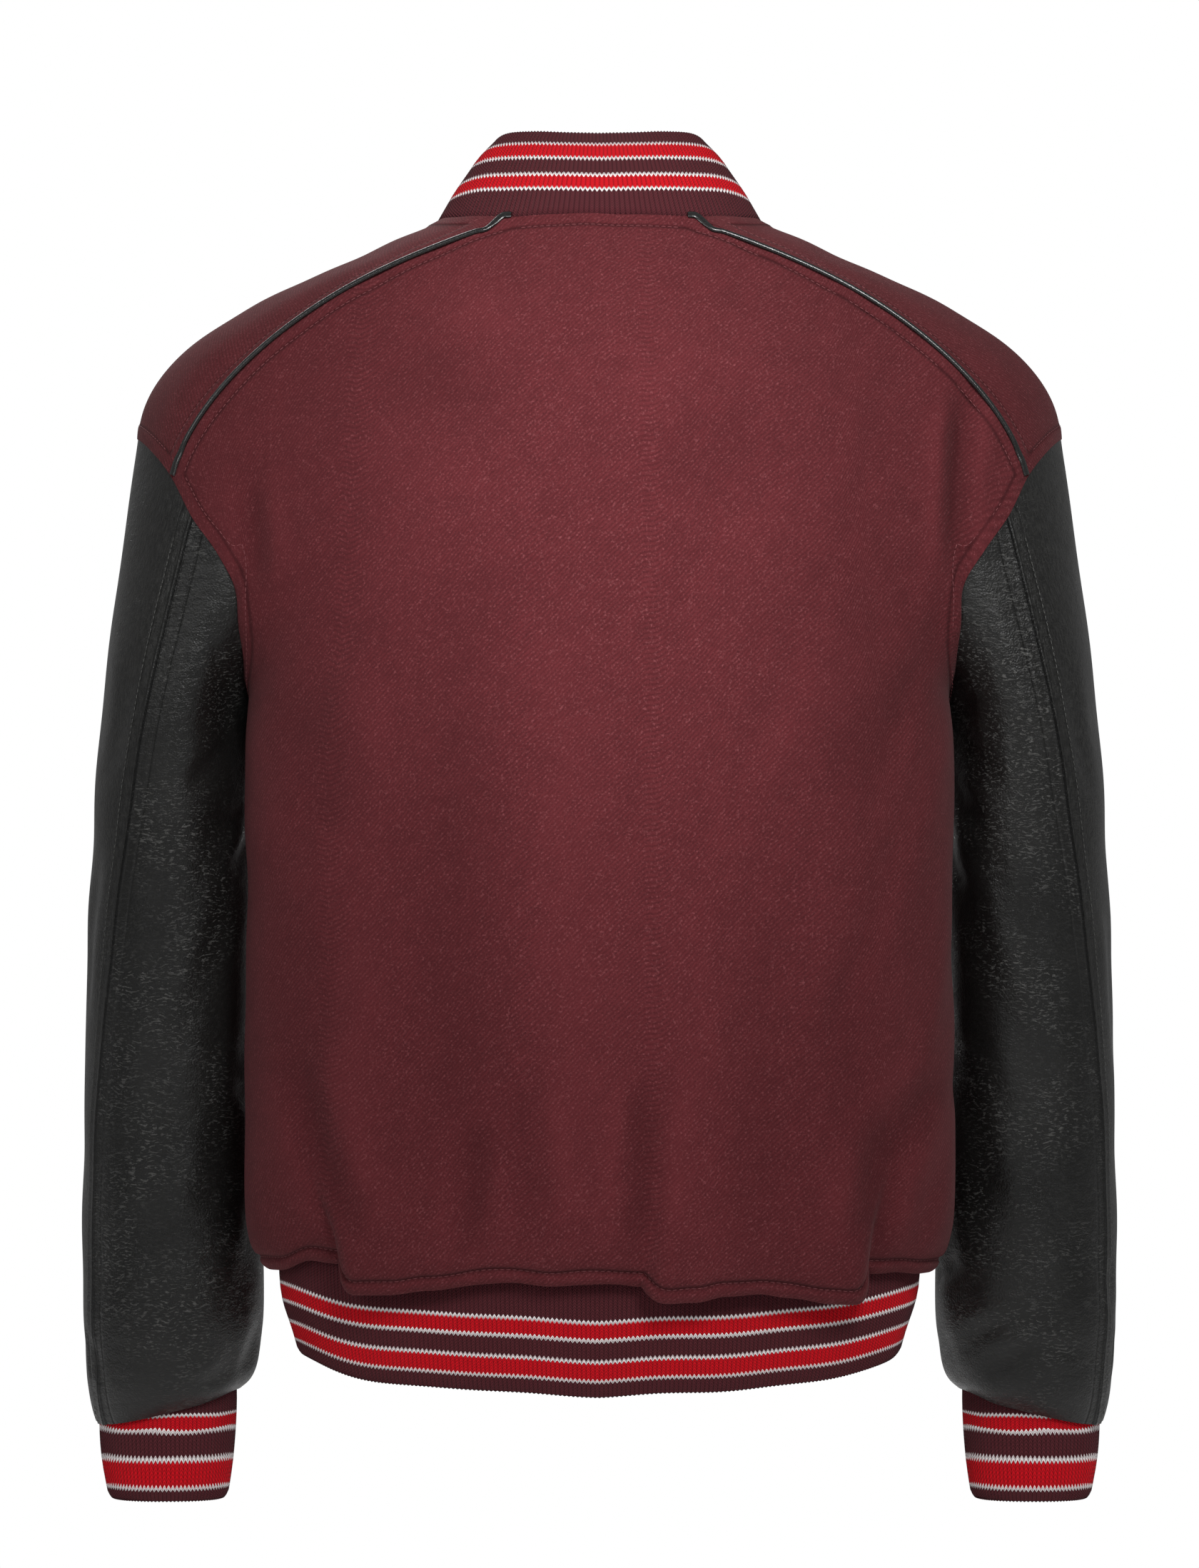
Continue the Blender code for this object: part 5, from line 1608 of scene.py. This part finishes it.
class JACKET_OT_set_studs(bpy.types.Operator):
    """Set the press studs down the front and on the hem band"""

    bl_idname = "jacket.set_studs"
    bl_label = "Set the Press Studs"
    bl_options = {"REGISTER", "UNDO"}

    def execute(self, context):
        front = front_grid(under=False)[front_controls()[0] <= NECK_POINT]
        middle = front[:, OVERLAP_COLUMNS, 1:]
        band = hem_outline(np.array([FRONT_OVERLAP, FRONT_OVERLAP]))[BAND_FACE, 0, 1:][::-1]
        radius, height = sizes().stud_radius, sizes().stud_height
        cosine, sine = circle(STUD_FACETS)
        for number in range(1, len(STUD_HEIGHTS) + 2):
            centre = np.mean(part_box(f"stud_{number}"), axis=0)
            line = middle if number <= len(STUD_HEIGHTS) else band
            y = np.interp(centre[2] + np.array([-radius, radius]), line[:, 1], line[:, 0])
            facing = np.arctan2(1, (y[1] - y[0]) / (2 * radius))
            out = np.array([0, -np.sin(facing), np.cos(facing)])
            aside, up = np.array([1.0, 0, 0]), np.array([0, np.cos(facing), np.sin(facing)])
            foot = centre - out * height / 2
            ring = cosine * aside + sine * up
            wide, high = STUD_PROFILE.T[:, :, None, None]
            grid = foot + ring * wide * radius + out * high * height
            cap = rods(f"stud_cap_{number}", grid[None], finish_named("stud enamel"))
            dressed(cap, [f"stud_{number}"])
        return {"FINISHED"}


# --- The stage ---


def stage_finish():
    """Matt white paint."""
    made = Finish("white floor")
    grain = made.noise(object_place(made), 0.004, 2)
    tone = made.blend(grain, (0.84, 0.84, 0.84, 1), (0.88, 0.88, 0.88, 1))
    return made.done(tone, 0.9)


def white_studio(strength):
    """Even white light from all round. The backdrop itself shows as plain white."""
    world = bpy.data.worlds.new("white studio")
    world.use_nodes = True
    nodes, links = world.node_tree.nodes, world.node_tree.links
    background = nodes["Background"]
    path, choice = nodes.new("ShaderNodeLightPath"), nodes.new("ShaderNodeMix")
    choice.inputs["A"].default_value, choice.inputs["B"].default_value = strength, 1.0
    links.new(path.outputs["Is Camera Ray"], choice.inputs["Factor"])
    links.new(choice.outputs["Result"], background.inputs["Strength"])
    background.inputs["Color"].default_value = (1, 1, 1, 1)
    return world


# The lights: where each stands, where it points, its width, its share of the main light's power and its
# cone in degrees. One with no cone is a disk, and one with a cone is a spot, whose lamp has that width.
LIGHTS = {
    "main light": ((-0.7, 2.4, 1.2), (0, 0, -0.3), 1.0, 1.0, 0),
    "side light": ((1.6, 2.1, 0.5), (0, 0, -0.15), 1.0, 0.22, 0),
    "light on the shoulders": ((-0.2, 2.1, 0.6), (-0.01, 0.1, -0.12), 0.25, 3.9, 14),
    "front light": ((0.9, -2.2, 1.2), (0, 0, -0.3), 1.5, 0.6, 0),
    "front fill": ((0, -2.4, 0.1), (0, 0, -0.3), 0.8, 0.35, 0),
    "light on the right sleeve": ((1.5, 1.7, 0.5), (-0.235, 0.08, -0.2), 0.25, 6.5, 8),
}


def studio_light(name, power):
    """A light at its place, turned about X and then Z so that it points at its target."""
    place, target, size, share, cone = LIGHTS[name]
    light = bpy.data.lights.new(name, "SPOT" if cone else "AREA")
    light.energy = power * share
    if cone:
        light.shadow_soft_size, light.spot_size, light.spot_blend = size, math.radians(cone), 1.0
    else:
        light.shape, light.size = "DISK", size
    made = bpy.data.objects.new(name, light)
    made.location = place
    x, y, z = np.array(target) - np.array(place)
    made.rotation_euler = (np.arctan2(np.hypot(x, y), -z), 0, np.arctan2(y, x) - np.pi / 2)
    bpy.context.scene.collection.objects.link(made)


FLOOR_REACH, FLOOR_POINTS = 1.2, 9


def lay_floor(drop):
    """A flat, level square, centred on the neck, at a distance below the jacket."""
    line = np.linspace(-FLOOR_REACH, FLOOR_REACH, FLOOR_POINTS)
    x, y = np.meshgrid(line, line)
    grid = np.stack([x, y, np.full(x.shape, CAD_BOX[0][2] - drop)], axis=-1)
    quads = grid_quads(np.arange(x.size).reshape(x.shape)).reshape(-1, 4)
    add_mesh("floor", grid.reshape(-1, 3), [quads], stage_finish())


LENS, SENSOR = 146.3, 36  # in millimetres


def set_camera(back, height):
    """A level camera behind the jacket."""
    lens = bpy.data.cameras.new("camera")
    lens.sensor_fit, lens.sensor_width, lens.lens = "AUTO", SENSOR, LENS
    camera = bpy.data.objects.new("camera", lens)
    camera.location = (0, back, height)
    camera.rotation_euler = (np.pi / 2, 0, np.pi)
    bpy.context.scene.collection.objects.link(camera)
    bpy.context.scene.camera = camera


class JACKET_OT_set_stage(bpy.types.Operator):
    """Lay the floor, and set the lights and the camera"""

    bl_idname = "jacket.set_stage"
    bl_label = "Set the Stage"
    bl_options = {"REGISTER", "UNDO"}

    def execute(self, context):
        settings = context.scene.jacket_stage
        lay_floor(settings.floor_drop)
        context.scene.world = white_studio(settings.sky)
        for name in LIGHTS:
            studio_light(name, settings.key_power)
        set_camera(settings.camera_back, settings.camera_height)
        context.scene.view_settings.view_transform = "Standard"
        return {"FINISHED"}


# --- The sidebar ---

STEPS = (
    JACKET_OT_sew_body, JACKET_OT_sew_sleeves, JACKET_OT_knit_bands, JACKET_OT_pipe_shoulders,
    JACKET_OT_topstitch, JACKET_OT_set_studs, JACKET_OT_set_stage,
)  # fmt: skip
GROUPS = {"jacket_sizes": JacketSizes, "jacket_colours": JacketColours, "jacket_stage": StageSettings}


class JACKET_PT_sidebar(bpy.types.Panel):
    """The jacket's steps, sizes and colours"""

    bl_label = "Varsity Jacket"
    bl_idname = "JACKET_PT_sidebar"
    bl_space_type = "VIEW_3D"
    bl_region_type = "UI"
    bl_category = "Jacket"

    def draw(self, context):
        for step in STEPS:
            self.layout.operator(step.bl_idname)
        for group in GROUPS:
            settings = getattr(context.scene, group)
            for name in settings.__annotations__:
                self.layout.prop(settings, name)


CLASSES = (*GROUPS.values(), *STEPS, JACKET_PT_sidebar)


def register():
    for made in CLASSES:
        bpy.utils.register_class(made)
    for name, group in GROUPS.items():
        setattr(bpy.types.Scene, name, bpy.props.PointerProperty(type=group))


def unregister():
    for name in GROUPS:
        delattr(bpy.types.Scene, name)
    for made in reversed(CLASSES):
        bpy.utils.unregister_class(made)


def main():
    """Makes the whole jacket and its stage."""
    register()
    bpy.ops.jacket.sew_body()
    bpy.ops.jacket.sew_sleeves()
    bpy.ops.jacket.knit_bands()
    bpy.ops.jacket.pipe_shoulders()
    bpy.ops.jacket.topstitch()
    bpy.ops.jacket.set_studs()
    bpy.ops.jacket.set_stage()


if __name__ == "__main__":
    main()
